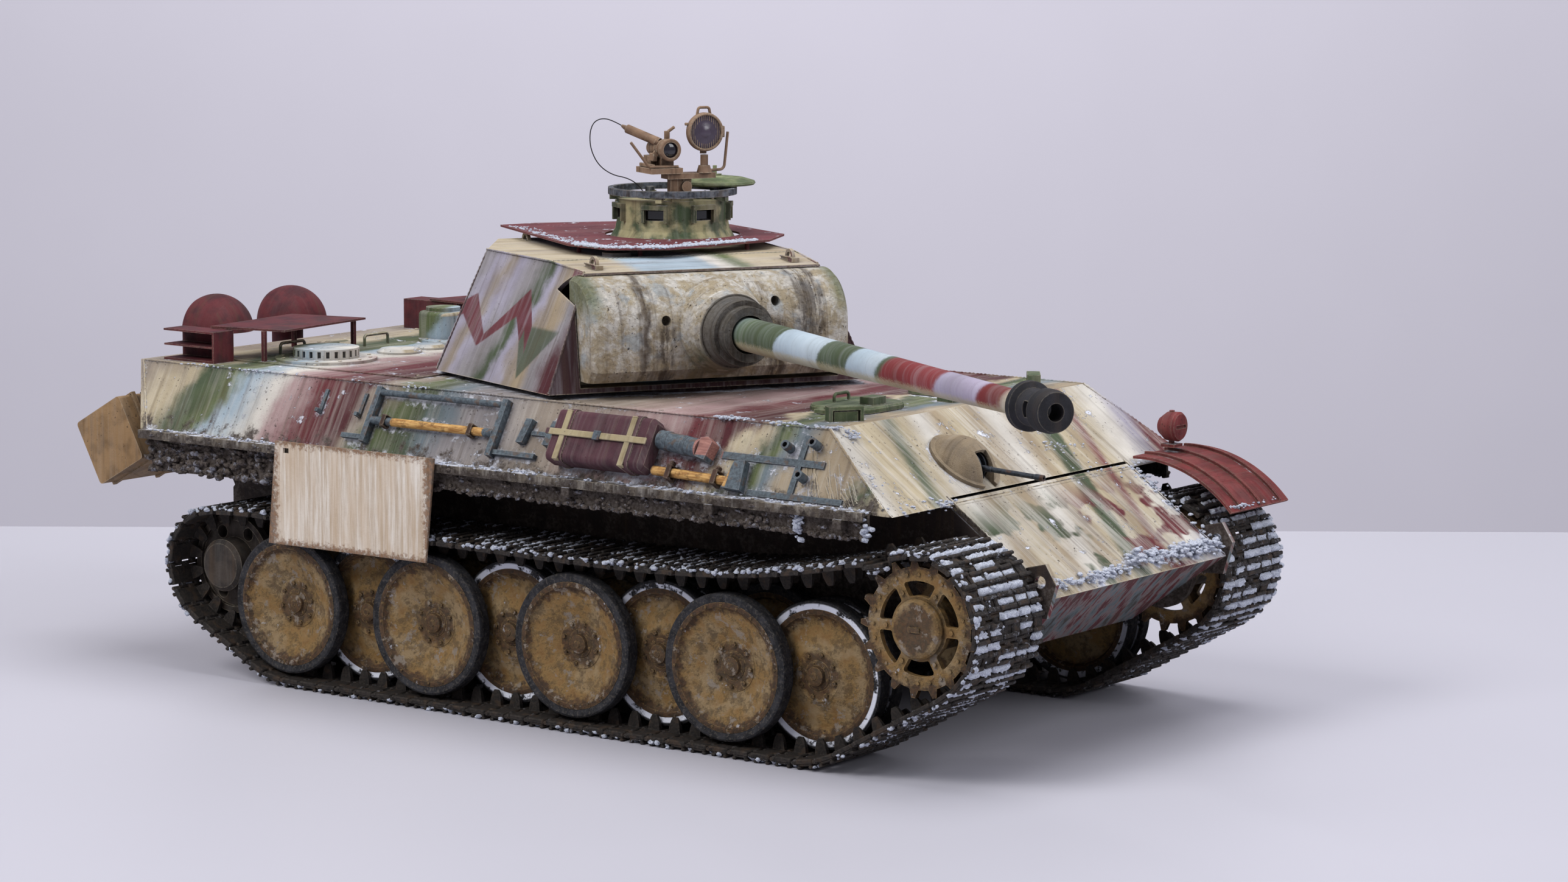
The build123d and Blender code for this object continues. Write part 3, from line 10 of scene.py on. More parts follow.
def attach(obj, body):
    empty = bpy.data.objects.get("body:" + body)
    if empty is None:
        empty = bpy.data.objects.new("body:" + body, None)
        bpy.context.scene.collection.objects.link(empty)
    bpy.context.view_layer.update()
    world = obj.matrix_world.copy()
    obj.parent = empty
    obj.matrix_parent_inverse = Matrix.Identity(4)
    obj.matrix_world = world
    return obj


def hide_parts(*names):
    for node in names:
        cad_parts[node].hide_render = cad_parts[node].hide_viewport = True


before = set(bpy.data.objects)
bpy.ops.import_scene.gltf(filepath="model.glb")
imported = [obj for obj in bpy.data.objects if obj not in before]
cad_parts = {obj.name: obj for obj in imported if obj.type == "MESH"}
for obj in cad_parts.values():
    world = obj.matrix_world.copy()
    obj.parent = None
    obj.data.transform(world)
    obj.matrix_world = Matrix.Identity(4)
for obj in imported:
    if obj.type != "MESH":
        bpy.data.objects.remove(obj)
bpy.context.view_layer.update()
MM = 0.001
TURRET_X, TURRET_YAW = -20.7, math.radians(-28.88)
SIDE_FOOT_Y, SIDE_TOP_Y, SIDE_FOOT_Z, SIDE_TOP_Z = -96.4, -82.0, 93.0, 118.0
NOSE_X, NOSE_Z, GLACIS_RUN, GLACIS_RISE = 200.0, 62.8, 78.0, 55.2
CUPOLA_X, CUPOLA_Y, GUN_Z = -31.0, 20.6, 143.2
SPROCKET_AXLE = (171.5, 55.0)
CAMERA_AT = Vector((1.0016, -1.2980, 0.3211))



def new_object(name, data):
    piece = bpy.data.objects.new(name, data)
    bpy.context.scene.collection.objects.link(piece)
    return piece


# ------------------------------------------------------------------ camera and cord

cam_data = bpy.data.cameras.new("photo_camera")
cam_data.lens, cam_data.sensor_width = 99.4, 36.0
cam_data.clip_start, cam_data.clip_end = 0.01, 50.0
camera = new_object("photo_camera", cam_data)
right = Vector((0.80355, 0.59523, 0.00380)).normalized()
up = Vector((-0.08446, 0.10769, 0.99059)).normalized()
back = right.cross(up).normalized()
up = back.cross(right)
camera.matrix_world = Matrix([(right[k], up[k], back[k], CAMERA_AT[k]) for k in range(3)] + [(0, 0, 0, 1)])
bpy.context.scene.camera = camera
bpy.context.scene.view_settings.view_transform = "Standard"

CORD_ROUTE = [(-48.6, 14.6, 212.4), (-51.6, 12.6, 214.4), (-55.2, 10.6, 215.2), (-58.6, 9.4, 213.4),
              (-60.6, 9.6, 208.6), (-61.0, 11.0, 202.4), (-59.6, 14.0, 196.4), (-56.2, 18.2, 192.6),
              (-51.8, 22.4, 191.4), (-48.6, 25.4, 188.6), (-46.6, 27.4, 184.2), (-46.9, 27.3, 180.6),
              (-50.6, 24.9, 179.6),]
CORD_D = 0.42


def make_cord():
    """The night sight's cable on the CAD route, from its connector to the socket inside the cupola."""
    curve = bpy.data.curves.new("sight_cable", "CURVE")
    curve.dimensions = "3D"
    curve.bevel_depth = CORD_D / 2 * MM
    curve.bevel_resolution = 4
    curve.resolution_u = 10
    curve.use_fill_caps = True
    line = curve.splines.new("NURBS")
    line.points.add(len(CORD_ROUTE) - 1)
    for point, place in zip(line.points, CORD_ROUTE):
        point.co = (place[0] * MM, place[1] * MM, place[2] * MM, 1)
    line.order_u = 3
    line.use_endpoint_u = True
    return new_object("sight_cable", curve)


# ------------------------------------------------------------------ node trees


def rgb(code, gain=1.0):
    """A linear colour from an sRGB hex code."""
    parts = [int(code[i:i + 2], 16) / 255 for i in (0, 2, 4)]
    linear = [c / 12.92 if c < 0.04045 else ((c + 0.055) / 1.055) ** 2.4 for c in parts]
    return tuple(c * gain for c in linear) + (1.0,)


class Value:
    """A node's output; each sign in a sum makes a math node."""

    def __init__(self, look, socket):
        self.look, self.socket = look, socket

    def __add__(self, other):
        return self.look.m("ADD", self, other)

    def __radd__(self, other):
        return self.look.m("ADD", other, self)

    def __sub__(self, other):
        return self.look.m("SUBTRACT", self, other)

    def __rsub__(self, other):
        return self.look.m("SUBTRACT", other, self)

    def __mul__(self, other):
        return self.look.m("MULTIPLY", self, other)

    def __truediv__(self, other):
        return self.look.m("DIVIDE", self, other)

    def __pow__(self, power):
        return self.look.m("POWER", self, power)

    def __abs__(self):
        return self.look.m("ABSOLUTE", self)


class Look:
    """A material's node tree with short calls; positions are in millimetres and colours are hex codes."""

    def __init__(self, name, rough=0.7, metal=0.0, specular=0.35, turret=False):
        self.mat = bpy.data.materials.new(name)
        self.mat.use_nodes = True
        self.tree = self.mat.node_tree
        self.tree.nodes.clear()
        output = self.put("ShaderNodeOutputMaterial")
        self.bsdf = self.put("ShaderNodeBsdfPrincipled", Roughness=rough, Metallic=metal,
                             Specular_IOR_Level=specular)
        self.tree.links.new(self.bsdf.outputs[0], output.inputs[0])
        coord = self.put("ShaderNodeTexCoord")
        self.p = self.vector("SCALE", coord.outputs["Object"], 1000.0)
        self.normal = coord.outputs["Normal"]
        if turret:
            self.p = self.turn(self.vector("SUBTRACT", self.p, (TURRET_X, 0, 0)), -TURRET_YAW)
            self.normal = self.turn(self.normal, -TURRET_YAW)
        self.x, self.y, self.z = self.split(self.p)
        self.nx, self.ny, self.nz = self.split(self.normal)

    def put(self, kind, **settings):
        """A new node; capitalised settings are its inputs, the others its properties."""
        node = self.tree.nodes.new(kind)
        for key, value in settings.items():
            if key[0].isupper():
                self.feed(node.inputs[key.replace("_", " ")], value)
            else:
                setattr(node, key, value)
        return node

    def feed(self, socket, value):
        if isinstance(value, Value):
            value = value.socket
        if isinstance(value, bpy.types.NodeSocket):
            self.tree.links.new(value, socket)
        elif value is not None:
            socket.default_value = rgb(value) if isinstance(value, str) else value

    def vector(self, op, a, b):
        node = self.put("ShaderNodeVectorMath", operation=op)
        self.feed(node.inputs[0], a)
        self.feed(node.inputs["Scale"] if op == "SCALE" else node.inputs[1], b)
        return Value(self, node.outputs[0])

    def turn(self, a, angle):
        return Value(self, self.put("ShaderNodeVectorRotate", rotation_type="Z_AXIS", Vector=a,
                                    Angle=angle).outputs[0])

    def split(self, a):
        node = self.put("ShaderNodeSeparateXYZ", Vector=a)
        return [Value(self, out) for out in node.outputs]

    def join(self, x, y, z):
        return Value(self, self.put("ShaderNodeCombineXYZ", X=x, Y=y, Z=z).outputs[0])

    def m(self, op, a, b=None, clamp=False):
        node = self.put("ShaderNodeMath", operation=op, use_clamp=clamp)
        self.feed(node.inputs[0], a)
        self.feed(node.inputs[1], b)
        return Value(self, node.outputs[0])

    def part(self, a, share):
        """A product held between 0 and 1."""
        return self.m("MULTIPLY", a, share, True)

    def most(self, a, b):
        return self.m("MAXIMUM", a, b)

    def length(self, a, b):
        return self.m("SQRT", a ** 2.0 + b ** 2.0)

    def noise(self, at, scale, detail=4.0, rough=0.55, warp=0.0):
        node = self.put("ShaderNodeTexNoise", Vector=at, Scale=scale, Detail=detail, Roughness=rough,
                        Distortion=warp)
        return Value(self, node.outputs[0])

    def cells(self, at, scale):
        return Value(self, self.put("ShaderNodeTexVoronoi", Vector=at, Scale=scale).outputs["Distance"])

    def sway(self, size, *noise):
        """Noise to either side of zero, size wide."""
        return (self.noise(self.p, *noise) - 0.5) * size

    def above(self, value, edge, soft):
        """0 below the edge, 1 above it, over a soft width."""
        node = self.put("ShaderNodeMapRange", interpolation_type="SMOOTHSTEP", Value=value,
                        From_Min=edge - soft, From_Max=edge + soft)
        return Value(self, node.outputs[0])

    def below(self, value, edge, soft):
        return 1.0 - self.above(value, edge, soft)

    def within(self, value, low, high, soft):
        return self.above(value, low, soft) * self.below(value, high, soft)

    def spots(self, edge, soft, *noise, at=None):
        """Where noise rises above an edge; at moves the pattern."""
        place = self.p if at is None else self.vector("ADD", self.p, at)
        return self.above(self.noise(place, *noise), edge, soft)

    def mix(self, share, a, b, blend="MIX"):
        node = self.put("ShaderNodeMix", data_type="RGBA", blend_type=blend, Factor=share)
        self.feed(node.inputs[6], a)
        self.feed(node.inputs[7], b)
        return Value(self, node.outputs[2])

    def stops(self, value, points, kind):
        """A colour ramp through (value, colour) points, over their whole range."""
        low, high = points[0][0], points[-1][0]
        node = self.put("ShaderNodeValToRGB")
        node.color_ramp.interpolation = kind
        self.feed(node.inputs[0], self.m("DIVIDE", value - low, high - low, True))
        elements = node.color_ramp.elements
        while len(elements) < len(points):
            elements.new(0.5)
        for element, (at, colour) in zip(elements, points):
            element.position = (at - low) / (high - low)
            element.color = colour
        return Value(self, node.outputs[0])

    def ramp(self, value, bands):
        """Soft colour bands at (value, colour) points."""
        return self.stops(value, [(at, rgb(code)) for at, code in bands], "EASE")

    def table(self, value, points):
        """A broken line through (value, height) points, read at the value."""
        greys = [(at, (height / TABLE_TOP,) * 3 + (1.0,)) for at, height in points]
        return self.stops(value, greys, "LINEAR") * TABLE_TOP

    def crevice(self, distance):
        """Near 1 in corners and gaps."""
        node = self.put("ShaderNodeAmbientOcclusion", samples=4, Distance=distance * MM)
        return 1.0 - Value(self, node.outputs["AO"])

    def edges(self, radius):
        """Near 1 on sharp outside edges."""
        bevel = self.put("ShaderNodeBevel", samples=4, Radius=radius * MM)
        plain = self.put("ShaderNodeNewGeometry")
        dot = self.put("ShaderNodeVectorMath", operation="DOT_PRODUCT")
        self.feed(dot.inputs[0], bevel.outputs[0])
        self.feed(dot.inputs[1], plain.outputs["Normal"])
        return self.above(1.0 - Value(self, dot.outputs["Value"]), 0.07, 0.06)

    def attribute(self, name):
        return Value(self, self.put("ShaderNodeAttribute", attribute_name=name).outputs["Fac"])

    def bump(self, height, depth):
        """Adds relief; height is 0 to 1, depth in millimetres."""
        node = self.put("ShaderNodeBump", Strength=1.0, Distance=depth * MM, Height=height)
        held = self.bsdf.inputs["Normal"]
        if held.links:
            self.feed(node.inputs["Normal"], held.links[0].from_socket)
        self.feed(held, node.outputs[0])

    def done(self, colour, rough=None, height=None, depth=0.2):
        """Links what is given and hands over the material."""
        self.feed(self.bsdf.inputs["Base Color"], colour)
        self.feed(self.bsdf.inputs["Roughness"], rough)
        if height is not None:
            self.bump(height, depth)
        return self.mat


TABLE_TOP = 200.0
CREAM, WHITE, SNOW = "b8ab90", "d6d2ca", "dfe2ee"
GREEN, OLIVE, BLUE = "47543c", "5f6a44", "9fb2c0"
RED, DARKRED, PINK = "64262d", "4c1c23", "a58a8a"
TAN, GREY, LAVENDER = "93877a", "8b878a", "a39fb0"
SAND, SLATE, MUD = "a3937a", "6f7d86", "3a3028"
# The first colour on the next line is painted shade for corners and gaps; the second is rust.
CREVICE_SHADE, RUST = "1d1a19", "5a3a22"


def streaks(n, scale, stretch=0.05):
    """Noise drawn out down the plate it is on."""
    front = n.above(abs(n.nx), 0.5, 0.08)
    across = n.x * (1.0 - front) + n.y * front
    other = (n.y * (1.0 - front) + n.x * front) * stretch
    return n.noise(n.join(across, other, n.z * stretch), scale, 5.0, 0.65, 0.3)


def weather(n, base, wash=0.5, grime_and_shade=0.5, chips=0.5, worn=0.4, snow=0.0, mud_z=None, stipple=0.35,
            wash_colour=WHITE, mud_mask=None):
    """Whitewash, rain streaks, painted corner shade with dirt, chipped edges, splashed mud and lying snow
    over a paint.
    """
    fine = n.noise(n.p, 1.1, 6.0, 0.7)
    broad = n.noise(n.p, 0.06, 4.0, 0.6)
    brush = streaks(n, 0.42)
    wide = streaks(n, 0.11, 0.09)
    cover = n.above(brush + (wide - 0.5) * 0.9, 0.55, 0.16) * wash
    colour = n.mix(cover, base, wash_colour)
    tone = n.mix(n.above(broad, 0.5, 0.3), "8c8078", "ffffff")
    colour = n.mix(0.35, colour, tone, "MULTIPLY")
    run = n.above(streaks(n, 0.27, 0.035), 0.60, 0.10) * grime_and_shade
    colour = n.mix(run * 0.75, colour, "4d3d2e")
    # Painted shade: dark brown laid in corners and gaps by ambient occlusion, broken up with noise as dirt;
    # the grime weight also sets it.
    corner = n.crevice(3.5)
    dirt = n.above(corner + (fine - 0.5) * 0.5, 0.42, 0.25) * 0.85
    colour = n.mix(n.part(dirt, grime_and_shade), colour, "2f261f")
    speck = n.spots(0.66, 0.02, 0.9, 3.0, 0.5) * n.spots(0.52, 0.06, 0.09)
    colour = n.mix(n.part(speck, chips), colour, "2b1c17")
    edge = n.edges(0.55) * n.above(fine, 0.46, 0.1)
    colour = n.mix(n.part(edge, worn), colour, "c9bda6")
    height = fine * 0.5 + n.noise(n.p, 3.2, 3.0) * 0.5
    rough = 0.62 + fine * 0.3
    if mud_z is not None:
        low, high = mud_z
        splash = (n.z - low) / (low - high) + n.sway(2.6, 0.16, 6.0, 0.7)
        mud = n.above(splash, -0.45, 0.22)
        if mud_mask is not None:
            mud = mud * mud_mask
        ground = n.mix(n.spots(0.5, 0.12, 0.7, 5.0, 0.7), MUD, "5d5550")
        colour = n.mix(mud, colour, ground)
        height = height + mud * n.noise(n.p, 0.8, 6.0, 0.75)
    if snow:
        lie = n.above(n.nz, 0.45, 0.2) * n.above(n.noise(n.p, 0.13, 6.0, 0.75) + corner * 0.25,
                                                 0.74 - 0.22 * snow, 0.025)
        colour = n.mix(lie, colour, SNOW)
        height = height + lie * (1.0 + n.noise(n.p, 2.0, 4.0))
    return n.done(colour, rough, height, stipple)


def flat_paint(name, dark, light, wash, grime_and_shade, chips, worn, snow, stipple, turret=False, mud_z=None):
    """One paint colour with cloudy variation, weathered."""
    n = Look(name, turret=turret)
    base = n.mix(n.spots(0.52, 0.12, 0.12, 4.0), dark, light)
    return weather(n, base, wash, grime_and_shade, chips, worn, snow, mud_z, stipple)


def hull_paint(name, tub=False):
    """Sprayed patches along the sides, brushed stripes on the glacis; the tub keeps them on its nose only."""
    n = Look(name)
    drift = n.sway(46.0, 0.03, 3.0)
    fuzz = n.sway(5.0, 0.5, 4.0, 0.7)
    along = n.x + drift + fuzz + (n.z - 105.0) * -0.55
    side = n.ramp(along, [
        (-215, TAN), (-194, CREAM), (-184, GREEN), (-170, OLIVE), (-162, BLUE), (-146, WHITE), (-134, PINK),
        (-122, RED), (-96, DARKRED), (-86, TAN), (-78, OLIVE), (-66, GREEN), (-56, SLATE), (-44, GREY),
        (0, TAN), (48, PINK), (62, RED), (78, DARKRED), (84, CREAM), (90, GREEN), (97, OLIVE), (104, SLATE),
        (118, SAND), (140, SAND), (147, GREEN), (156, CREAM)])
    slope = n.x * 0.5 + n.y + fuzz * 0.6
    front = n.ramp(slope, [(-30, CREAM), (-18, WHITE), (-6, CREAM), (6, CREAM), (12, "5d6651"), (20, CREAM),
                           (32, WHITE), (42, SAND), (52, CREAM), (64, SAND), (76, WHITE), (88, SAND),
                           (95, CREAM), (100, GREEN), (106, GREEN), (109, CREAM), (118, SAND),
                           (123, "7a4a48"), (127, CREAM), (142, WHITE), (154, LAVENDER), (162, RED)])
    low_patch = n.spots(0.55, 0.03, 0.05, 3.0, at=(7, 30, 0))
    front = n.mix(low_patch * n.below(n.z, 88.0, 6.0), front, n.mix(n.above(n.y, 0.0, 6.0), GREEN, RED))
    is_front = n.above(n.nx, 0.42, 0.04) * n.above(n.nz, 0.1, 0.1)
    nose = n.above(n.nx, 0.2, 0.1) * n.below(n.nz, -0.2, 0.1)
    if tub:
        side = n.mix(n.spots(0.52, 0.12, 0.12, 4.0), "3b2f2b", "2a2220")
    base = n.mix(is_front, side, front)
    under = n.noise(n.join(n.x * 0.2, n.y + n.z * 1.2, 0.0), 0.16, 5.0, 0.65)
    base = n.mix(nose, base, n.ramp(under, [(0.3, "56504c"), (0.44, RED), (0.5, "8a7a78"), (0.56, "6d7b80"),
                                            (0.66, "4a443f")]))
    plain = 1.0 - n.most(is_front, nose)
    wash = 0.22 + is_front * 0.3
    if tub:
        return weather(n, base, wash=is_front * 0.55, grime_and_shade=0.7, chips=0.7, worn=0.3, snow=0.5,
                       mud_z=(45, 96), stipple=0.45, mud_mask=plain)
    return weather(n, base, wash=wash, grime_and_shade=0.55, chips=0.8, worn=0.55, snow=0.5, mud_z=(86, 103),
                   stipple=0.3, mud_mask=plain)


def turret_paint():
    """Slanted whitewash strokes with a dark red zigzag on the sides."""
    n = Look("turret_camouflage", turret=True)
    fuzz = n.sway(5.0, 0.5, 4.0, 0.65)
    slant = n.x + (n.z - 140.0) * -0.45 + fuzz
    slant = slant + n.sway(26.0, 0.05, 2.0)
    side = n.ramp(slant, [(-90, SAND), (-76, CREAM), (-66, TAN), (-56, LAVENDER), (-44, GREY),
                          (-34, LAVENDER), (-22, TAN), (-14, LAVENDER), (-2, GREY), (8, GREEN),
                          (14, LAVENDER), (24, TAN), (34, SAND), (44, GREY), (56, DARKRED)])
    rise = n.z + fuzz * 0.12
    crest = n.table(n.x, [(-85, 125), (-28, 150), (-11, 136), (11.6, 155), (23, 142), (26, 120), (60, 120)])
    trough = n.table(n.x, [(-85, 119), (-33, 141.5), (-13.3, 131.4), (8.5, 144.4), (18, 135.6), (19, 166),
                           (60, 166)])
    zigzag = n.below(rise - crest, 0.0, 0.5) * n.above(rise - trough, 0.0, 0.5)
    front_peak = n.above(n.x, 18.0, 0.3) * (
        n.below(rise - crest, 0.0, 0.5) * n.above(rise - n.x * -1.3, 164.0, 1.0))
    corner = n.above(n.x, 38.5, 0.5) * n.above(n.z - n.x, 118.0, 0.8)
    red = n.most(n.most(zigzag, front_peak), corner)
    behind = n.above(n.x - (n.z - 124.0) * -0.62, 25.0, 0.8)
    wedge = behind * n.below(n.x - (n.z - 124.0) * 1.0, 26.5, 0.8) * n.below(rise, 142.0, 0.8)
    sides = n.above(abs(n.ny), 0.6, 0.05)
    base = n.mix(wedge * sides * 0.9, side, "4d5848")
    base = n.mix(red * sides * 0.95, base, "662c34")
    face = n.above(n.nx, 0.55, 0.05) * n.below(n.z, 163.5, 0.5)
    base = n.mix(face * 0.9, base, "40262b")
    roof = n.ramp(n.y + fuzz, [(-70, CREAM), (-30, CREAM), (-22, BLUE), (4, BLUE), (10, WHITE), (18, OLIVE),
                               (25, CREAM), (60, SAND)])
    base = n.mix(n.above(n.nz, 0.8, 0.05), base, roof)
    return weather(n, base, wash=0.26, wash_colour="b9b6bd", grime_and_shade=0.6, chips=0.4, worn=0.6, stipple=0.22)


def mantlet_paint():
    """Rough casting: cream and white dabs, rust runs under the sight holes, a green patch by the cone."""
    n = Look("mantlet_casting", turret=True)
    dab = n.noise(n.p, 0.16, 6.0, 0.72, 0.4)
    base = n.mix(n.above(dab, 0.5, 0.09), "b5a78c", "d9d5cd")
    base = n.mix(n.spots(0.6, 0.06, 0.11, 5.0, 0.6, at=(40, 9, 3)) * 0.7, base, "a9b3ba")
    patch = n.within(n.y, -14.0, 6.0, 5.0) * n.below(n.z, 140.0, 7.0)
    base = n.mix(patch * n.spots(0.42, 0.1, 0.15), base, "4f5a45")
    corner = n.above(abs(n.y), 47.0, 3.0) * n.above(n.z, 150.0, 6.0)
    base = n.mix(corner * 0.8, base, OLIVE)
    low = n.below(n.z + n.sway(30.0, 0.2, 5.0), 133.0, 6.0)
    base = n.mix(low * 0.6, base, "a08c6c")
    for hole, width in ((-22.5, 3.0), (-30.5, 1.8), (36.0, 5.0), (22.5, 3.0)):
        band = n.within(n.y + n.sway(9.0, 0.25, 5.0), hole - width, hole + width, 1.8)
        run = band * n.above(n.noise(n.join(n.y, 0.0, n.z * 0.2), 0.35, 5.0, 0.7), 0.44, 0.1)
        if hole in (-22.5, 22.5):
            run = run * n.below(n.z, 146.0, 3.0)
        base = n.mix(run * 0.85, base, "3f3024")
    radius = n.length(n.y, n.z - GUN_Z)
    ring = n.above(n.x, 75.2, 0.7) * n.within(radius, 0.0, 14.0, 0.3)
    base = n.mix(ring * 0.9, base, "35312e")
    mat = weather(n, base, wash=0.15, grime_and_shade=0.75, chips=0.9, worn=0.25, stipple=0.25)
    pits = n.noise(n.p, 0.55, 6.0, 0.72, 0.6) * 1.0 + n.cells(n.p, 0.5) * 0.35
    n.bump(pits, 1.3)
    return mat


def gun_paint():
    """Sprayed rings round the barrel over a yellowish underside."""
    n = Look("gun_bands", turret=True)
    fuzz = n.sway(3.0, 0.9, 5.0, 0.7)
    under = (GUN_Z - n.z) * 1.0
    along = n.x + fuzz + under * 0.6
    bands = n.ramp(along, [
        (80, "6c7d7c"), (94, "54624a"), (100, GREEN), (122, GREEN), (124, "a9bac8"), (158, "b4c2cc"),
        (160, GREEN), (181, GREEN), (183, "a9bccb"), (203, "b3c0ca"), (206, GREEN), (210, "7a2a2c"),
        (247, "7d3034"), (250, "9e97ad"), (277, "a79eb4"), (280, "6e2527"), (292, "73302e"),
        (298, "b6ab98"), (306, "a89c88")])
    belly = n.above(under + n.sway(4.5, 1.4, 4.0, 0.7), 2.2, 1.2) * 0.75
    base = n.mix(belly, bands, "b3a987")
    return weather(n, base, wash=0.12, wash_colour="d3dbe0", grime_and_shade=0.25, chips=0.15, worn=0.2, stipple=0.08)


def cupola_paint():
    """Cream and green casting with a dark steel ring on top and black periscope openings."""
    n = Look("cupola_casting", turret=True)
    around = n.m("ARCTAN2", n.y - CUPOLA_Y, n.x - CUPOLA_X)
    patch = n.noise(n.join(around * 9.0, 0.0, n.z * 0.4), 0.22, 4.0, 0.5)
    base = n.mix(n.above(patch, 0.5, 0.07), "b5ad84", "46573c")
    base = n.mix(n.below(n.z, 169.0, 1.6) * n.spots(0.45, 0.1, 0.3), base, "b09a8a")
    reach = n.length(n.y - CUPOLA_Y, n.x - CUPOLA_X)
    window = n.within(n.z, 176.2, 180.8, 0.2) * n.below(reach, 21.7, 0.1)
    frames = n.within(n.z, 175.4, 182.6, 0.2) * n.above(reach, 21.9, 0.1)
    base = n.mix(frames * 0.6, base, "3c4032")
    base = n.mix(window, base, "0b0b0e")
    ring = n.above(n.z, 184.9, 0.15)
    base = n.mix(ring, base, n.mix(n.spots(0.5, 0.1, 0.35, 5.0), "2f333b", "59606b"))
    return weather(n, base, wash=0.12, grime_and_shade=0.5, chips=0.5, worn=0.35, snow=0.2, stipple=0.3)


def caked_metal(name, axle=None):
    """Ochre steel caked with rusty mud towards hub and rim, by distance on the mesh or from an axle."""
    n = Look(name)
    if axle is None:
        rad = n.attribute("rad")
    else:
        dx, dz = n.x - axle[0], n.z - axle[1]
        rad = n.m("SQRT", dx * dx + dz * dz)
    mottled = n.noise(n.p, 0.2, 6.0, 0.68)
    base = n.mix(n.above(mottled, 0.5, 0.16), "7d5d33", "a88a56")
    base = n.mix(n.spots(0.52, 0.08, 0.09, 4.0) * 0.6, base, "9c8a6b")
    fine = n.noise(n.p, 0.7, 6.0, 0.75)
    wander = n.sway(12.0, 0.25, 5.0, 0.7)
    rim = n.above(rad + wander, 19.8, 1.6)
    hub = n.below(rad + wander, 8.6, 1.6)
    spots = n.spots(0.53, 0.08, 0.2, 6.0, 0.78)
    dirt = n.most(n.most(rim * 0.92, hub * 0.85), spots * 0.7)
    base = n.mix(dirt, base, n.mix(n.above(fine, 0.5, 0.1), "241811", "4c3321"))
    clay = n.spots(0.6, 0.03, 0.2, 6.0, 0.7, at=(9, 70, 5)) * 0.8
    base = n.mix(clay, base, "8d8378")
    frost = n.spots(0.67, 0.02, 0.16, 6.0, 0.75, at=(90, 7, 50)) * 0.8
    base = n.mix(frost, base, "b9bac2")
    # Painted shade: near-black laid in corners and gaps by ambient occlusion.
    base = n.mix(n.part(n.crevice(3.0), 1.1), base, "17110e")
    edge = n.edges(0.4) * n.above(fine, 0.48, 0.1)
    base = n.mix(edge * 0.6, base, "bd9f6a")
    return n.done(base, 0.34 + fine * 0.5, dirt * 0.5 + fine, 0.5)


def tyre_rubber(snowy):
    """Grey-black rubber, dusty; the inner row keeps snow on its side."""
    n = Look("tyre_snowy" if snowy else "tyre_dusty", rough=0.75, specular=0.25)
    fine = n.noise(n.p, 0.9, 6.0, 0.7)
    base = n.mix(n.spots(0.5, 0.15, 0.3, 5.0), "1d1d20", "323236")
    base = n.mix(n.above(fine, 0.56, 0.05) * 0.6, base, "57524d")
    height = fine
    if snowy:
        lie = n.spots(0.47, 0.03, 0.12, 6.0, 0.72) * n.below(n.attribute("rad"), 25.6, 0.3)
        base = n.mix(lie, base, SNOW)
        height = fine + lie * 1.5
    return n.done(base, None, height, 0.35)


def track_metal():
    """Dark cast shoes, mud in the hollows, bright where they rub, frost on the outside."""
    n = Look("track_casting", rough=0.55, metal=0.35, specular=0.5)
    fine = n.noise(n.p, 0.9, 6.0, 0.75)
    base = n.mix(n.above(fine, 0.5, 0.12), "1c1918", "3a332e")
    base = n.mix(n.spots(0.58, 0.07, 0.25, 5.0) * 0.7, base, "4a3a2c")
    face = n.attribute("outer")
    lying = n.spots(0.5, 0.08, 0.07, 3.0)
    frost = face * lying * n.spots(0.57, 0.03, 0.45, 6.0, 0.78)
    base = n.mix(frost, base, n.mix(n.spots(0.5, 0.2, 0.5), "6f7078", "b4b8c4"))
    edge = n.edges(0.35) * n.above(fine, 0.5, 0.12)
    base = n.mix(edge * 0.45, base, "75706c")
    return n.done(base, 0.45 + fine * 0.45, fine + frost * 1.2, 0.6)


def snow_look():
    """Wet granular snow."""
    n = Look("packed_snow", rough=0.5, specular=0.5)
    grain = n.noise(n.p, 2.4, 5.0, 0.7)
    n.bsdf.inputs["Subsurface Weight"].default_value = 0.25
    n.bsdf.inputs["Subsurface Radius"].default_value = (0.0010, 0.0012, 0.0015)
    return n.done(n.mix(n.above(grain, 0.48, 0.16), "8e95a6", "d3d8e6"), 0.35 + grain * 0.4, grain, 0.35)


def mud_look():
    """Dried grey-brown mud with frost."""
    n = Look("caked_mud", rough=0.9, specular=0.2)
    grain = n.noise(n.p, 1.0, 6.0, 0.75)
    base = n.mix(n.above(grain, 0.5, 0.15), "3a322d", "6f6660")
    return n.done(n.mix(n.spots(0.58, 0.05, 0.3, 6.0, 0.8), base, "9a9ca8"), None, grain, 0.6)


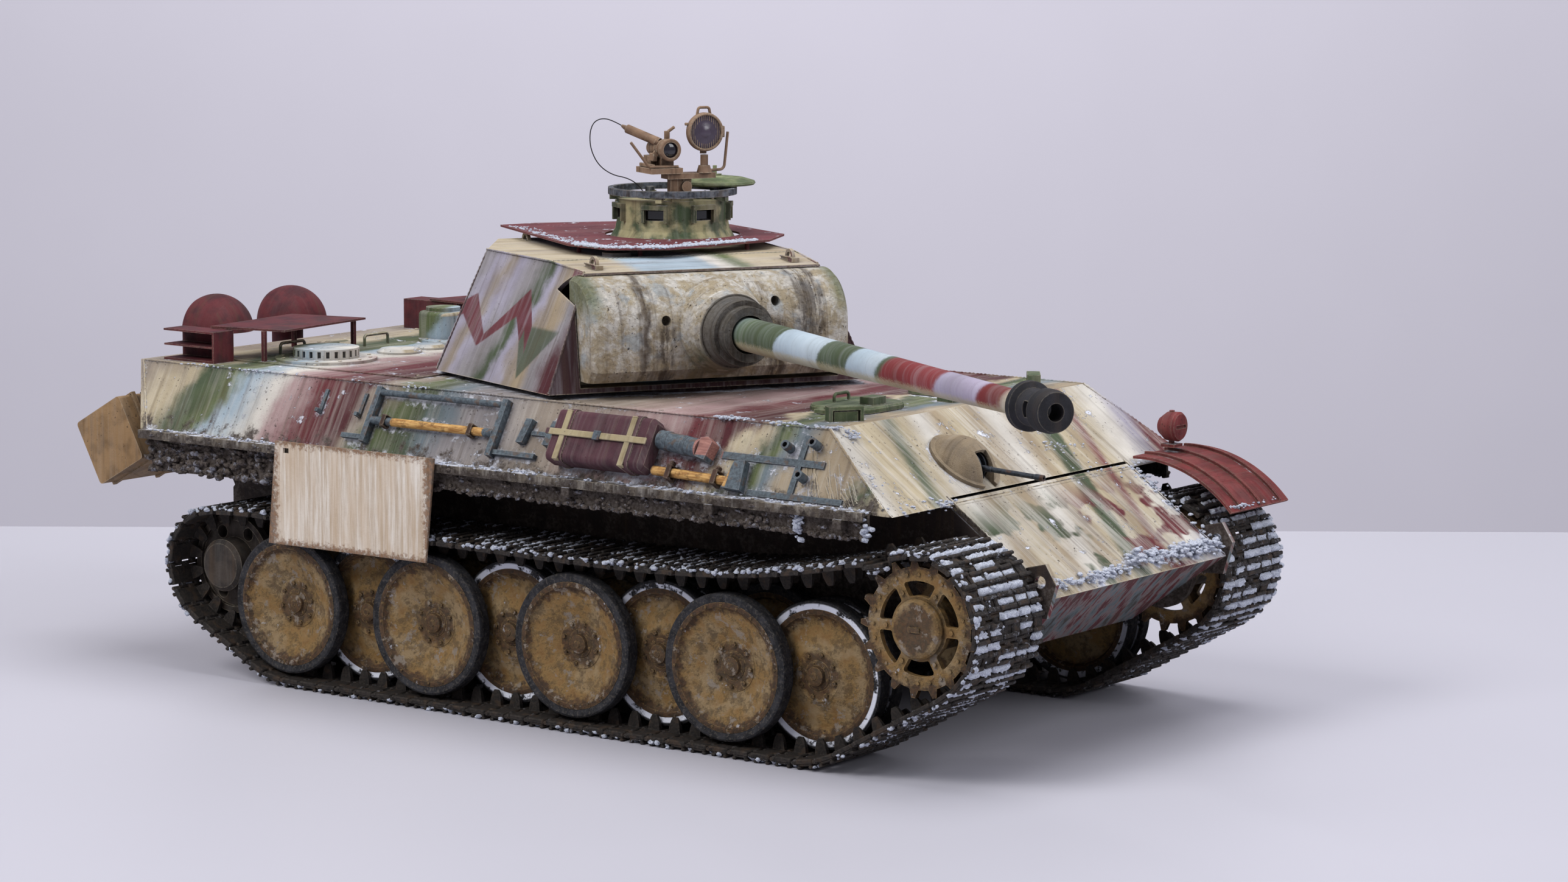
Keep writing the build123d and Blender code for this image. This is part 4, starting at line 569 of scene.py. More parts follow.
def tool_look():
    """Blue-grey steel, with wooden handles, a canister and a pinkish wood block picked out by place."""
    n = Look("tool_steel_and_wood", rough=0.5, specular=0.4)
    fine = n.noise(n.p, 0.8, 6.0, 0.7)
    rise = (n.y - SIDE_FOOT_Y) * 0.5 + (n.z - SIDE_FOOT_Z) * 0.866
    base = n.mix(n.above(fine, 0.5, 0.14), "363f47", "58646c")
    base = n.mix(n.spots(0.58, 0.05, 0.3, 5.0) * 0.6, base, "5a4432")
    grain = n.noise(n.join(n.x * 0.12, n.y, n.z), 1.6, 5.0, 0.6, 0.4)
    wood = n.mix(n.above(grain, 0.5, 0.16), "94662f", "cfa564")
    wood = n.mix(n.spots(0.56, 0.05, 0.4, 5.0, 0.7) * 0.6, wood, "553919")
    rack = n.within(n.x, -73.5, -28.5, 0.3) * n.within(rise, 10.6, 15.6, 0.3)
    axe = n.within(n.x, 53.0, 88.5, 0.3) * n.within(rise, 2.0, 8.2, 0.3)
    base = n.mix(n.most(rack, axe), base, wood)
    block = n.within(n.x, 71.6, 80.5, 0.3) * n.above(rise, 12.0, 0.3)
    base = n.mix(block, base, n.mix(n.above(grain, 0.5, 0.2), "7c4e48", "a8766a"))
    base = n.mix(n.edges(0.4) * 0.5, base, "8c9196")
    # Painted shade: near-black laid in corners and gaps by ambient occlusion.
    return n.done(n.mix(n.part(n.crevice(2.5), 0.9), base, CREVICE_SHADE), 0.4 + fine * 0.4, fine, 0.2)


def steel_look(name, dark, light, turret=False):
    n = Look(name, rough=0.45, metal=0.55, specular=0.5, turret=turret)
    fine = n.noise(n.p, 0.8, 6.0, 0.7)
    base = n.mix(n.above(fine, 0.5, 0.14), dark, light)
    base = n.mix(n.edges(0.4) * 0.6, base, "7d8288")
    base = n.mix(n.spots(0.6, 0.05, 0.3, 5.0) * 0.6, base, RUST)
    # Painted shade: near-black laid in corners and gaps by ambient occlusion.
    return n.done(n.mix(n.part(n.crevice(2.0), 0.8), base, CREVICE_SHADE), 0.3 + fine * 0.4, fine, 0.2)


def plastic_look(name, code, rough=0.5):
    n = Look(name, rough=rough)
    grain = n.noise(n.p, 2.0, 3.0)
    return n.done(n.mix(n.above(grain, 0.5, 0.3), code, rgb(code, 1.35)), None, grain, 0.05)


def skirt_paint():
    """Whitewashed sheet with upright brush marks and rusty, bent edges."""
    n = Look("skirt_whitewash")
    brush = n.noise(n.join(n.x, n.y, n.z * 0.05), 0.5, 6.0, 0.7)
    base = n.mix(n.above(brush, 0.5, 0.16), "b7a48e", "e2dbd1")
    wet = n.noise(n.join(n.x, n.y, n.z * 0.12), 0.16, 4.0, 0.6)
    base = n.mix(n.above(wet, 0.54, 0.1) * 0.5, base, "c3ad93")
    fine = n.noise(n.p, 0.5, 6.0, 0.75)
    middle_x = abs(n.x + 84.5)
    border = n.most(n.above(middle_x + (fine - 0.5) * 16.0, 37.2, 1.6),
                    n.above(abs(n.z - 76.0) + (fine - 0.5) * 14.0, 18.4, 1.4))
    base = n.mix(border * 0.85, base, n.mix(n.above(fine, 0.5, 0.1), "3f2a1c", "7c5636"))
    return n.done(base, 0.55 + fine * 0.35, brush + fine, 0.2)


def glass_look(name, code, rough=0.08):
    n = Look(name, rough=rough, specular=0.7)
    shade = n.noise(n.p, 0.4, 2.0)
    return n.done(n.mix(n.above(shade, 0.5, 0.3), code, rgb(code, 1.5)))


def cable_look():
    n = Look("cable_rubber", rough=0.55)
    grain = n.noise(n.p, 3.0, 3.0)
    return n.done(n.mix(grain, "0e0e10", "222226"), None, grain, 0.02)


# name, two colours, wash, grime and painted corner shade, chips, worn edges, snow, stipple, whether on the
# turret, heights of the mud
PAINTS = {
    "muzzle": ("muzzle_black", "1c1c21", "29292f", 0.0, 0.3, 0.3, 0.22, 0.0, 0.15, True),
    "arm": ("arm_paint", "3b2f2b", "2a2220", 0.05, 0.9, 0.7, 0.2, 0.0, 0.6, False, (45, 96)),
    "fender": ("fender_paint", "6f6557", "3e3630", 0.4, 0.9, 0.9, 0.55, 0.9, 0.7, False, (88, 97)),
    "duct": ("duct_red", "5f2229", "421720", 0.02, 0.4, 0.4, 0.3, 0.0, 0.15),
    "roof": ("roof_shield_red", "6e2e37", "5b222c", 0.05, 0.3, 0.3, 0.3, 0.55, 0.2, True),
    "guard": ("mudguard_red", "7a2f30", "5e2022", 0.04, 0.55, 0.9, 0.3, 0.1, 0.3),
    "green": ("deck_green", "44533a", "5c6849", 0.12, 0.5, 0.4, 0.45, 0.2, 0.2),
    "lid": ("lid_green", "5b6b47", "8c946c", 0.1, 0.35, 0.3, 0.4, 0.0, 0.25, True),
    "bin": ("bin_tan", "a1815a", "7f6444", 0.1, 0.7, 0.8, 0.5, 0.0, 0.35),
    "sight": ("sight_tan", "93775f", "765c48", 0.06, 0.9, 0.3, 0.55, 0.0, 0.12, True),
    "crate": ("crate_maroon", "53303a", "3f222c", 0.08, 0.4, 0.6, 0.4, 0.0, 0.25),
    "strap": ("strap_cream", "a79a78", "8c7e5d", 0.1, 0.6, 0.9, 0.3, 0.0, 0.2),
    "socket": ("socket_casting", "a59378", "8b7b65", 0.12, 0.75, 0.8, 0.45, 0.0, 0.9),
    "leather": ("leather_brown", "4b3328", "38261d", 0.0, 0.3, 0.2, 0.35, 0.0, 0.2),
    "idler": ("idler_grey", "4a423c", "2b2624", 0.05, 0.8, 0.8, 0.5, 0.0, 0.5),
}
LOOKS = {
    "hull": hull_paint("hull_camouflage"),
    "turret": turret_paint(),
    "mantlet": mantlet_paint(),
    "gun": gun_paint(),
    "cupola": cupola_paint(),
    "wheel": caked_metal("wheel_disc"),
    "tyre": tyre_rubber(False),
    "tyre_snow": tyre_rubber(True),
    "track": track_metal(),
    "snow": snow_look(),
    "mud": mud_look(),
    "tool": tool_look(),
    "steel": steel_look("tool_steel", "343a42", "515a63"),
    "gun_steel": steel_look("gun_steel", "20242b", "3a4049"),
    "tub": hull_paint("tub_and_nose", tub=True),
    "skirt": skirt_paint(),
    "sprocket": caked_metal("sprocket_ochre", SPROCKET_AXLE),
    "plastic": plastic_look("moulded_black", "16161a"),
    "battery": plastic_look("battery_wrap", "1d3a6b", 0.35),
    "board": plastic_look("circuit_green", "0f4a26", 0.4),
    "lamp_glass": glass_look("lamp_glass", "3b3140", 0.25),
    "lens": glass_look("lens_glass", "15131c"),
    "pane": glass_look("periscope_glass", "0b0c10"),
    "cable": cable_look(),
}
LOOKS.update((look, flat_paint(*row)) for look, row in PAINTS.items())

# ------------------------------------------------------------------ mesh building


def shift(x, y, z):
    m = np.eye(4)
    m[:3, 3] = (x, y, z)
    return m


def turn_z(angle):
    c, s = math.cos(angle), math.sin(angle)
    m = np.eye(4)
    m[:2, :2] = ((c, -s), (s, c))
    return m


def axes(origin, x_dir, z_dir):
    """A frame from an origin and two directions."""
    z = np.array(z_dir, float)
    z /= np.linalg.norm(z)
    x = np.array(x_dir, float)
    x -= z * (x @ z)
    x /= np.linalg.norm(x)
    m = np.eye(4)
    m[:3, 0], m[:3, 1], m[:3, 2], m[:3, 3] = x, np.cross(z, x), z, origin
    return m


TURRET = shift(TURRET_X, 0, 0) @ turn_z(TURRET_YAW)


def side_frame(x, rise):
    """On the starboard leaning side: local X forward, Y up the plate, Z outward."""
    dy, dz = SIDE_TOP_Y - SIDE_FOOT_Y, SIDE_TOP_Z - SIDE_FOOT_Z
    size = math.hypot(dy, dz)
    dy, dz = dy / size, dz / size
    return axes((x, SIDE_FOOT_Y + dy * rise, SIDE_FOOT_Z + dz * rise), (1, 0, 0), (0, -dz, dy))


class Soup:
    """Gathers vertices and faces in millimetres, then makes one object."""

    def __init__(self):
        self.verts, self.faces, self.mats, self.marks = [], [], [], []
        self.count = 0

    def add(self, verts, faces, mat=0, at=None, mark=None):
        verts = np.asarray(verts, float)
        if at is not None:
            verts = verts @ at[:3, :3].T + at[:3, 3]
        self.verts.append(verts)
        self.faces += [tuple(i + self.count for i in f) for f in faces]
        self.mats += [mat] * len(faces)
        self.marks.append(np.zeros(len(verts)) if mark is None else np.asarray(mark, float))
        self.count += len(verts)

    def lathe(self, profile, mat=0, at=None, steps=64, closed=True, wobble=None):
        """Turns (radius, height) points about local Z; marks hold the radius."""
        profile = np.asarray(profile, float)
        angles = np.linspace(0, 2 * math.pi, steps, endpoint=False)
        n = len(profile)
        verts = np.array([(r * math.cos(a), r * math.sin(a), h) for a in angles for r, h in profile])
        if wobble is not None:
            verts *= 1 + wobble.normal(0, 0.004, (len(verts), 1))
        faces = []
        last = n if closed else n - 1
        for k in range(steps):
            for i in range(last):
                j = (i + 1) % n
                a, b = k * n, ((k + 1) % steps) * n
                faces.append((a + i, b + i, b + j, a + j))
        self.add(verts, faces, mat, at, np.tile(profile[:, 0], steps))

    def brick(self, low, high, mat=0, at=None, bevel=0.25, mark=None):
        """A box with its twelve edges cut back."""
        low, high = np.array(low, float), np.array(high, float)
        cut = min(bevel, 0.45 * float(min(high - low)))
        verts, faces, index = [], [], {}
        for corner in range(8):
            bits = [(corner >> k) & 1 for k in range(3)]
            for axis in range(3):
                p = [high[k] if bits[k] else low[k] for k in range(3)]
                for k in range(3):
                    if k != axis:
                        p[k] += -cut if bits[k] else cut
                index[corner, axis] = len(verts)
                verts.append(p)
        for axis in range(3):
            u, v = (axis + 1) % 3, (axis + 2) % 3
            for side in (0, 1):
                ring = [(side << axis) | (a << u) | (b << v) for a, b in ((0, 0), (1, 0), (1, 1), (0, 1))]
                face = [index[c, axis] for c in ring]
                faces.append(face if side else face[::-1])
            for a in (0, 1):
                for b in (0, 1):
                    c0, c1 = (a << u) | (b << v), (1 << axis) | (a << u) | (b << v)
                    face = [index[c0, u], index[c1, u], index[c1, v], index[c0, v]]
                    faces.append(face if a != b else face[::-1])
        for corner in range(8):
            odd = bin(corner).count("1") % 2
            face = [index[corner, k] for k in range(3)]
            faces.append(face if odd else face[::-1])
        self.add(verts, faces, mat, at, None if mark is None else np.full(len(verts), mark))

    def tube(self, points, radius, mat=0, at=None, steps=12, caps=True):
        """A round bar through points."""
        points = np.asarray(points, float)
        radii = np.broadcast_to(np.asarray(radius, float), (len(points),))
        verts, faces = [], []
        side = None
        for k, p in enumerate(points):
            ahead = points[min(k + 1, len(points) - 1)] - points[max(k - 1, 0)]
            ahead /= np.linalg.norm(ahead)
            if side is None:
                side = np.cross(ahead, (0.31, 0.17, 0.93))
            side = side - ahead * (side @ ahead)
            side /= np.linalg.norm(side)
            other = np.cross(ahead, side)
            for s in range(steps):
                a = 2 * math.pi * s / steps
                verts.append(p + radii[k] * (math.cos(a) * side + math.sin(a) * other))
        for k in range(len(points) - 1):
            for s in range(steps):
                a, b = k * steps, (k + 1) * steps
                t = (s + 1) % steps
                faces.append((a + s, a + t, b + t, b + s))
        if caps:
            faces.append(tuple(range(steps))[::-1])
            faces.append(tuple((len(points) - 1) * steps + s for s in range(steps)))
        self.add(verts, faces, mat, at)

    def bolt(self, place, radius=0.8, height=0.7, mat=0, at=None, sides=6):
        """A hexagonal head with a domed top, along local Z."""
        base = shift(*place)
        if at is not None:
            base = at @ base
        self.lathe([(0.001, 0), (radius, 0), (radius, height * 0.7), (radius * 0.7, height), (0.001, height)],
                   mat, base, sides, closed=False)

    def bolt_circle(self, centre, ring, count, radius, height, at=None, sides=6, phase=0.0):
        for k in range(count):
            a = 2 * math.pi * (k + phase) / count
            self.bolt((centre[0] + ring * math.cos(a), centre[1] + ring * math.sin(a), centre[2]), radius,
                      height, 0, at, sides)

    def lump(self, place, size, rng, mat=0, at=None, squash=0.7):
        """An irregular pellet."""
        verts = ICO_VERTS * (1 + rng.normal(0, 0.16, (len(ICO_VERTS), 1)))
        verts = verts * size * np.array([rng.uniform(0.8, 1.25), rng.uniform(0.8, 1.25), squash])
        angle = rng.uniform(0, 2 * math.pi)
        verts = verts @ turn_z(angle)[:3, :3].T + np.asarray(place, float)
        self.add(verts, ICO_FACES, mat, at)

    def make(self, name, body, looks, slot, replaces=(), smooth=35, mark=None):
        """The gathered mesh as an object that rides a body."""
        verts = np.concatenate(self.verts) * MM
        mesh = bpy.data.meshes.new(name)
        mesh.from_pydata(verts.tolist(), [], self.faces)
        for look in looks:
            mesh.materials.append(LOOKS[look])
        mesh.polygons.foreach_set("material_index", self.mats)
        if mark:
            layer = mesh.attributes.new(mark, "FLOAT", "POINT")
            layer.data.foreach_set("value", np.concatenate(self.marks).astype(np.float32))
        work = bmesh.new()
        work.from_mesh(mesh)
        bmesh.ops.recalc_face_normals(work, faces=work.faces)
        limit = math.radians(smooth)
        for edge in work.edges:
            edge.smooth = edge.calc_face_angle(3.2) < limit
        for face in work.faces:
            face.smooth = True
        work.to_mesh(mesh)
        work.free()
        piece = new_object(name, mesh)
        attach(piece, body)
        if replaces:
            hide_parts(*replaces)
        return piece


def icosphere():
    work = bmesh.new()
    bmesh.ops.create_icosphere(work, subdivisions=2, radius=1.0)
    verts = np.array([v.co[:] for v in work.verts])
    faces = [tuple(v.index for v in f.verts) for f in work.faces]
    work.free()
    return verts, faces


ICO_VERTS, ICO_FACES = icosphere()


# ------------------------------------------------------------------ tracks

LINK_MIDDLE_Z = 2.6
TRACK_MIDDLE_Y = 81.55


def link_frames(node, side):
    """Where each shoe of the CAD track is: frames with X along the track, Y to port, Z inward."""
    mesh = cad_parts[node].data
    co = np.array([v.co[:] for v in mesh.vertices]) / MM
    parent = list(range(len(co)))

    def root(i):
        while parent[i] != i:
            parent[i] = parent[parent[i]]
            i = parent[i]
        return i

    keys = {}
    for i, p in enumerate(np.round(co, 3)):
        first = keys.setdefault(tuple(p), i)
        parent[root(i)] = root(first)
    for edge in mesh.edges:
        a, b = (root(v) for v in edge.vertices)
        parent[a] = b
    groups = {}
    for i in range(len(co)):
        groups.setdefault(root(i), []).append(i)
    spots = []
    for members in groups.values():
        p = co[members]
        spots.append(((p[:, 0].min() + p[:, 0].max()) / 2, (p[:, 2].min() + p[:, 2].max()) / 2,
                      p[:, [0, 2]].mean(0)))
    centres = np.array([s[2] for s in spots])
    middle = np.array([5.0, 40.0])
    order = np.argsort(np.arctan2(centres[:, 1] - middle[1], (centres[:, 0] - middle[0]) * 0.35))
    centres = centres[order]
    start = int(np.argmin(np.abs(centres[:, 0]) + np.where(centres[:, 1] < 20, 0, 999)))
    depth = centres[start, 1] - LINK_MIDDLE_Z
    frames = []
    for k in range(len(centres)):
        ahead = centres[(k + 1) % len(centres)] - centres[k - 1]
        ahead /= np.linalg.norm(ahead)
        inward = np.array([-ahead[1], ahead[0]])
        spot = centres[k] - inward * depth
        m = np.eye(4)
        m[:3, 0] = (ahead[0], 0, ahead[1])
        m[:3, 1] = (0, side, 0)
        m[:3, 2] = (inward[0], 0, inward[1])
        m[:3, 3] = (spot[0], side * TRACK_MIDDLE_Y, spot[1])
        frames.append(m)
    return frames


def shoe():
    """One cast shoe: body with lightening hollows, broken cleats, knuckles, pin and two horns."""
    s = Soup()
    half = 20.3
    s.brick((-3.5, -half, -0.9), (3.5, half, 0.9), bevel=0.35)
    for lane in (-17.6, -11.3, -4.0, 4.0, 11.3, 17.6):
        s.brick((-3.1, lane - 2.5, -1.6), (3.1, lane + 2.5, -0.7), bevel=0.4, mark=1)
    for low, high, shape in ((-20.4, -13.4, 0.5), (-12.6, -5.6, -0.4), (-4.8, 4.8, 0.0), (5.6, 12.6, -0.4),
                             (13.4, 20.4, 0.5)):
        for t in (-2.3, 2.3):
            lean = shape if t > 0 else -shape
            s.brick((t - 0.75 + lean * 0.5, low, -2.55), (t + 0.75 + lean * 0.5, high, -1.4), bevel=0.35,
                    mark=1)
    for k in range(11):
        y = -19.1 + 3.82 * k
        u = 4.05 if k % 2 else -4.05
        s.brick((min(u, u * 0.7) - (0.0 if u > 0 else 0.75), y - 1.55, -1.0),
                (max(u, u * 0.7) + (0.75 if u > 0 else 0.0), y + 1.55, 1.0), bevel=0.5, mark=0.5)
    s.tube([(-4.3, -20.9, 0), (-4.3, 20.9, 0)], 0.75, steps=8)
    for low, high in ((71.8 - TRACK_MIDDLE_Y, 73.6 - TRACK_MIDDLE_Y),
                      (89.5 - TRACK_MIDDLE_Y, 91.3 - TRACK_MIDDLE_Y)):
        verts, faces = [], []
        for w, long, thin in ((0.8, 2.6, 0.0), (3.0, 2.3, 0.1), (5.2, 1.7, 0.35), (6.5, 1.0, 0.55)):
            for u, y in ((-long, low + thin), (long, low + thin), (long, high - thin), (-long, high - thin)):
                verts.append((u, y, w))
        for k in range(3):
            for i in range(4):
                j = (i + 1) % 4
                faces.append((4 * k + i, 4 * k + j, 4 * k + 4 + j, 4 * k + 4 + i))
        faces += [(3, 2, 1, 0), (12, 13, 14, 15)]
        s.add(verts, faces)
    verts = np.concatenate(s.verts)
    return verts, s.faces, np.concatenate(s.marks)


def snow_pad(soup, low, high, rng, at):
    """Snow packed between two cleats: a rough low mound over a rectangle of the shoe."""
    rows, cols = 5, max(6, int((high[1] - low[1]) / 0.8))
    u = np.linspace(low[0], high[0], rows)
    v = np.linspace(low[1], high[1], cols)
    verts = []
    for i in range(rows):
        for j in range(cols):
            rim = i in (0, rows - 1) or j in (0, cols - 1)
            lift = -0.7 if rim else -2.15 + rng.normal(0, 0.28)
            verts.append((u[i] + rng.normal(0, 0.12), v[j] + rng.normal(0, 0.15), lift))
    faces = [(i * cols + j, (i + 1) * cols + j, (i + 1) * cols + j + 1, i * cols + j + 1)
             for i in range(rows - 1) for j in range(cols - 1)]
    edge = list(range(cols)) + [i * cols + cols - 1 for i in range(1, rows)]
    edge += range((rows - 1) * cols + cols - 2, (rows - 1) * cols - 1, -1)
    edge += [i * cols for i in range(rows - 2, 0, -1)]
    faces.append(tuple(edge))
    soup.add(verts, faces, 0, at)


def make_tracks():
    verts, faces, marks = shoe()
    for name, side in (("right", -1), ("left", 1)):
        track, snow = Soup(), Soup()
        rng = np.random.default_rng(17 + side)
        for m in link_frames(f"track_{name}", side):
            track.add(verts, faces, 0, m, marks)
            x, z = m[0, 3], m[2, 3]
            front = x > 128 and z > 20
            top = z > 45
            packed = 0.5 + 0.5 * math.sin(x * 0.09 + z * 0.06 + side)
            share = 0.72 if front else 0.25 + 0.35 * packed if top else 0.30 if x < -130 else 0.22 * packed
            for t in (-0.2, 4.6):
                for low, high in ((-20.0, -13.8), (-13.0, -6.0), (-5.2, 5.2), (6.0, 13.0), (13.8, 20.0)):
                    if rng.random() < share:
                        snow_pad(snow, (t - 1.5, low), (t + 1.5, high), rng, m)
            crust = 7 if top or front else 2
            for _ in range(crust):
                snow.lump((rng.uniform(-4.6, 4.6), rng.uniform(17.5, 20.6), rng.uniform(-2.2, -0.6)),
                          rng.uniform(0.5, 1.25), rng, 0, m, 0.7)
            for _ in range(3 if front else 1):
                snow.lump((rng.uniform(-4, 4), rng.uniform(-20.3, 17.0), -1.9), rng.uniform(0.35, 0.8), rng,
                          0, m, 0.7)
        track.make(f"track_shoes_{name}", "hull", ["track"], "track_metal", (f"track_{name}",), mark="outer")
        flatten_below(snow, 0.05)
        snow.make(f"track_snow_{name}", "hull", ["snow"], "track_metal", smooth=60)


def flatten_below(soup, floor):
    """Nothing reaches under the ground."""
    for verts in soup.verts:
        verts[:, 2] = np.maximum(verts[:, 2], floor)


# ------------------------------------------------------------------ wheels

WHEEL_Z, WHEEL_FIRST_X, WHEEL_PITCH = 31.5, 122.5, 35.0
LANES = {True: ((82.8, 89.0, 2.6), (74.2, 80.4, -2.6)), False: ((91.9, 98.1, -3.6), (65.0, 71.2, 2.6))}


def make_wheel(name, number, side, rng):
    """A double wheel: ribbed tyres, dished discs with rim bolts, flanged hubs with nuts and a greaser."""
    odd = number % 2 == 1
    s = Soup()
    x = WHEEL_FIRST_X - WHEEL_PITCH * (number - 1)
    phase = rng.uniform(0, 6.28)
    base = axes((x, 0, WHEEL_Z), (math.cos(phase), 0, math.sin(phase)), (0, side, 0))
    for lane, (low, high, bulge) in enumerate(LANES[odd]):
        mid, hub = (low + high) / 2, (low + high) / 2 + bulge
        s.lathe([(23.3, low + 0.5), (24.6, low + 0.35), (25.8, low + 0.05), (26.5, low + 0.4),
                 (26.8, low + 1.1), (26.55, mid - 0.3), (26.55, mid + 0.3), (26.8, high - 1.1),
                 (26.5, high - 0.4), (25.8, high - 0.05), (24.6, high - 0.35), (23.3, high - 0.5)], 1, base,
                 72)
        if lane == 0:
            steel = [(5.4, hub + 0.9), (6.2, hub + 1.0), (9.2, hub + 0.95), (9.5, hub + 0.7),
                     (13.5, (hub * 0.62 + mid * 0.38) + 0.75), (18.2, mid + 0.75), (19.6, mid + 0.95),
                     (20.6, mid + 1.5), (21.2, high - 1.0), (21.7, high - 0.45), (23.0, high - 0.25),
                     (23.5, high - 0.35), (23.5, low + 0.6), (21.6, low + 0.7), (20.2, mid - 0.7),
                     (18.2, mid - 0.75), (13.5, (hub * 0.62 + mid * 0.38) - 0.75), (9.5, hub - 0.8),
                     (5.4, hub - 0.8)]
        else:
            steel = [(5.4, hub + 0.8), (9.5, hub + 0.8), (18.2, mid + 0.7), (20.6, mid + 0.9),
                     (21.6, high - 0.6), (23.5, high - 0.6), (23.5, low + 0.5), (21.6, low + 0.5),
                     (20.4, mid - 0.8), (18.2, mid - 0.8), (9.5, hub - 0.9), (5.4, hub - 0.9)]
        s.lathe(steel, 0, base, 72)
        if lane == 0:
            flange = hub + 0.9
            s.bolt_circle((0, 0, flange), 7.7, 8, 0.95, 0.95, base)
            rim_r, rim_h = (20.0, mid + 1.05) if odd else (22.35, high - 0.35)
            s.bolt_circle((0, 0, rim_h), rim_r, 20, 0.5, 0.42, base, 8, 0.5)
            cap = (90.2, 92.2) if odd else (93.0, 94.8)
            s.lathe([(0.001, cap[1]), (1.1, cap[1] - 0.02), (1.4, cap[1] - 0.35), (2.6, cap[1] - 0.4),
                     (3.4, cap[1] - 0.75), (3.8, cap[0] - 0.2), (5.0, cap[0] - 0.35), (5.6, cap[0] - 0.9),
                     (5.6, flange - 0.3), (0.001, flange - 0.3)], 0, base, 32, closed=False)
            s.bolt_circle((0, 0, cap[0] - 0.4), 4.5, 6, 0.42, 0.4, base, 6, 0.25)
    inner = 72.2 if odd else 66.5
    s.lathe([(3.05, inner), (5.5, inner), (5.5, 88.0), (3.05, 88.0)], 0, base, 32)
    s.make(f"road_{name}", name, ["wheel", "tyre_snow" if odd else "tyre"], "wheel_paint", (name,),
           mark="rad")


# ------------------------------------------------------------------ hull details


def weld(soup, points, radius, rng, mat=0, at=None):
    """A rippled weld bead along a line."""
    points = np.asarray(points, float)
    lengths = np.linalg.norm(np.diff(points, axis=0), axis=1)
    total = lengths.sum()
    count = max(4, int(total / 0.9))
    along = np.linspace(0, total, count)
    marks = np.concatenate([[0], np.cumsum(lengths)])
    line = np.stack([np.interp(along, marks, points[:, k]) for k in range(3)], axis=1)
    radii = radius * (1 + 0.22 * np.cos(np.arange(count) * math.pi) + rng.normal(0, 0.06, count))
    line += rng.normal(0, radius * 0.08, line.shape)
    soup.tube(line, radii, mat, at, 8)


def glacis_z(x):
    return NOSE_Z + (NOSE_X - x) * (SIDE_TOP_Z - NOSE_Z) / GLACIS_RUN


def clump_line(snow, a, b, count, spread, size, rng, at=None, squash=0.6):
    """Pellets scattered along a line, in a few drifts."""
    a, b = np.array(a, float), np.array(b, float)
    heaps = rng.uniform(0, 1, max(2, count // 14))
    for _ in range(count):
        if rng.random() < 0.3:
            t = rng.uniform(0, 1)
        else:
            t = float(np.clip(rng.choice(heaps) + rng.normal(0, 0.03), 0, 1))
        snow.lump(a + (b - a) * t + rng.normal(0, 1, 3) * spread, rng.uniform(0.45, 1.0) * size, rng, 0, at,
                  squash)


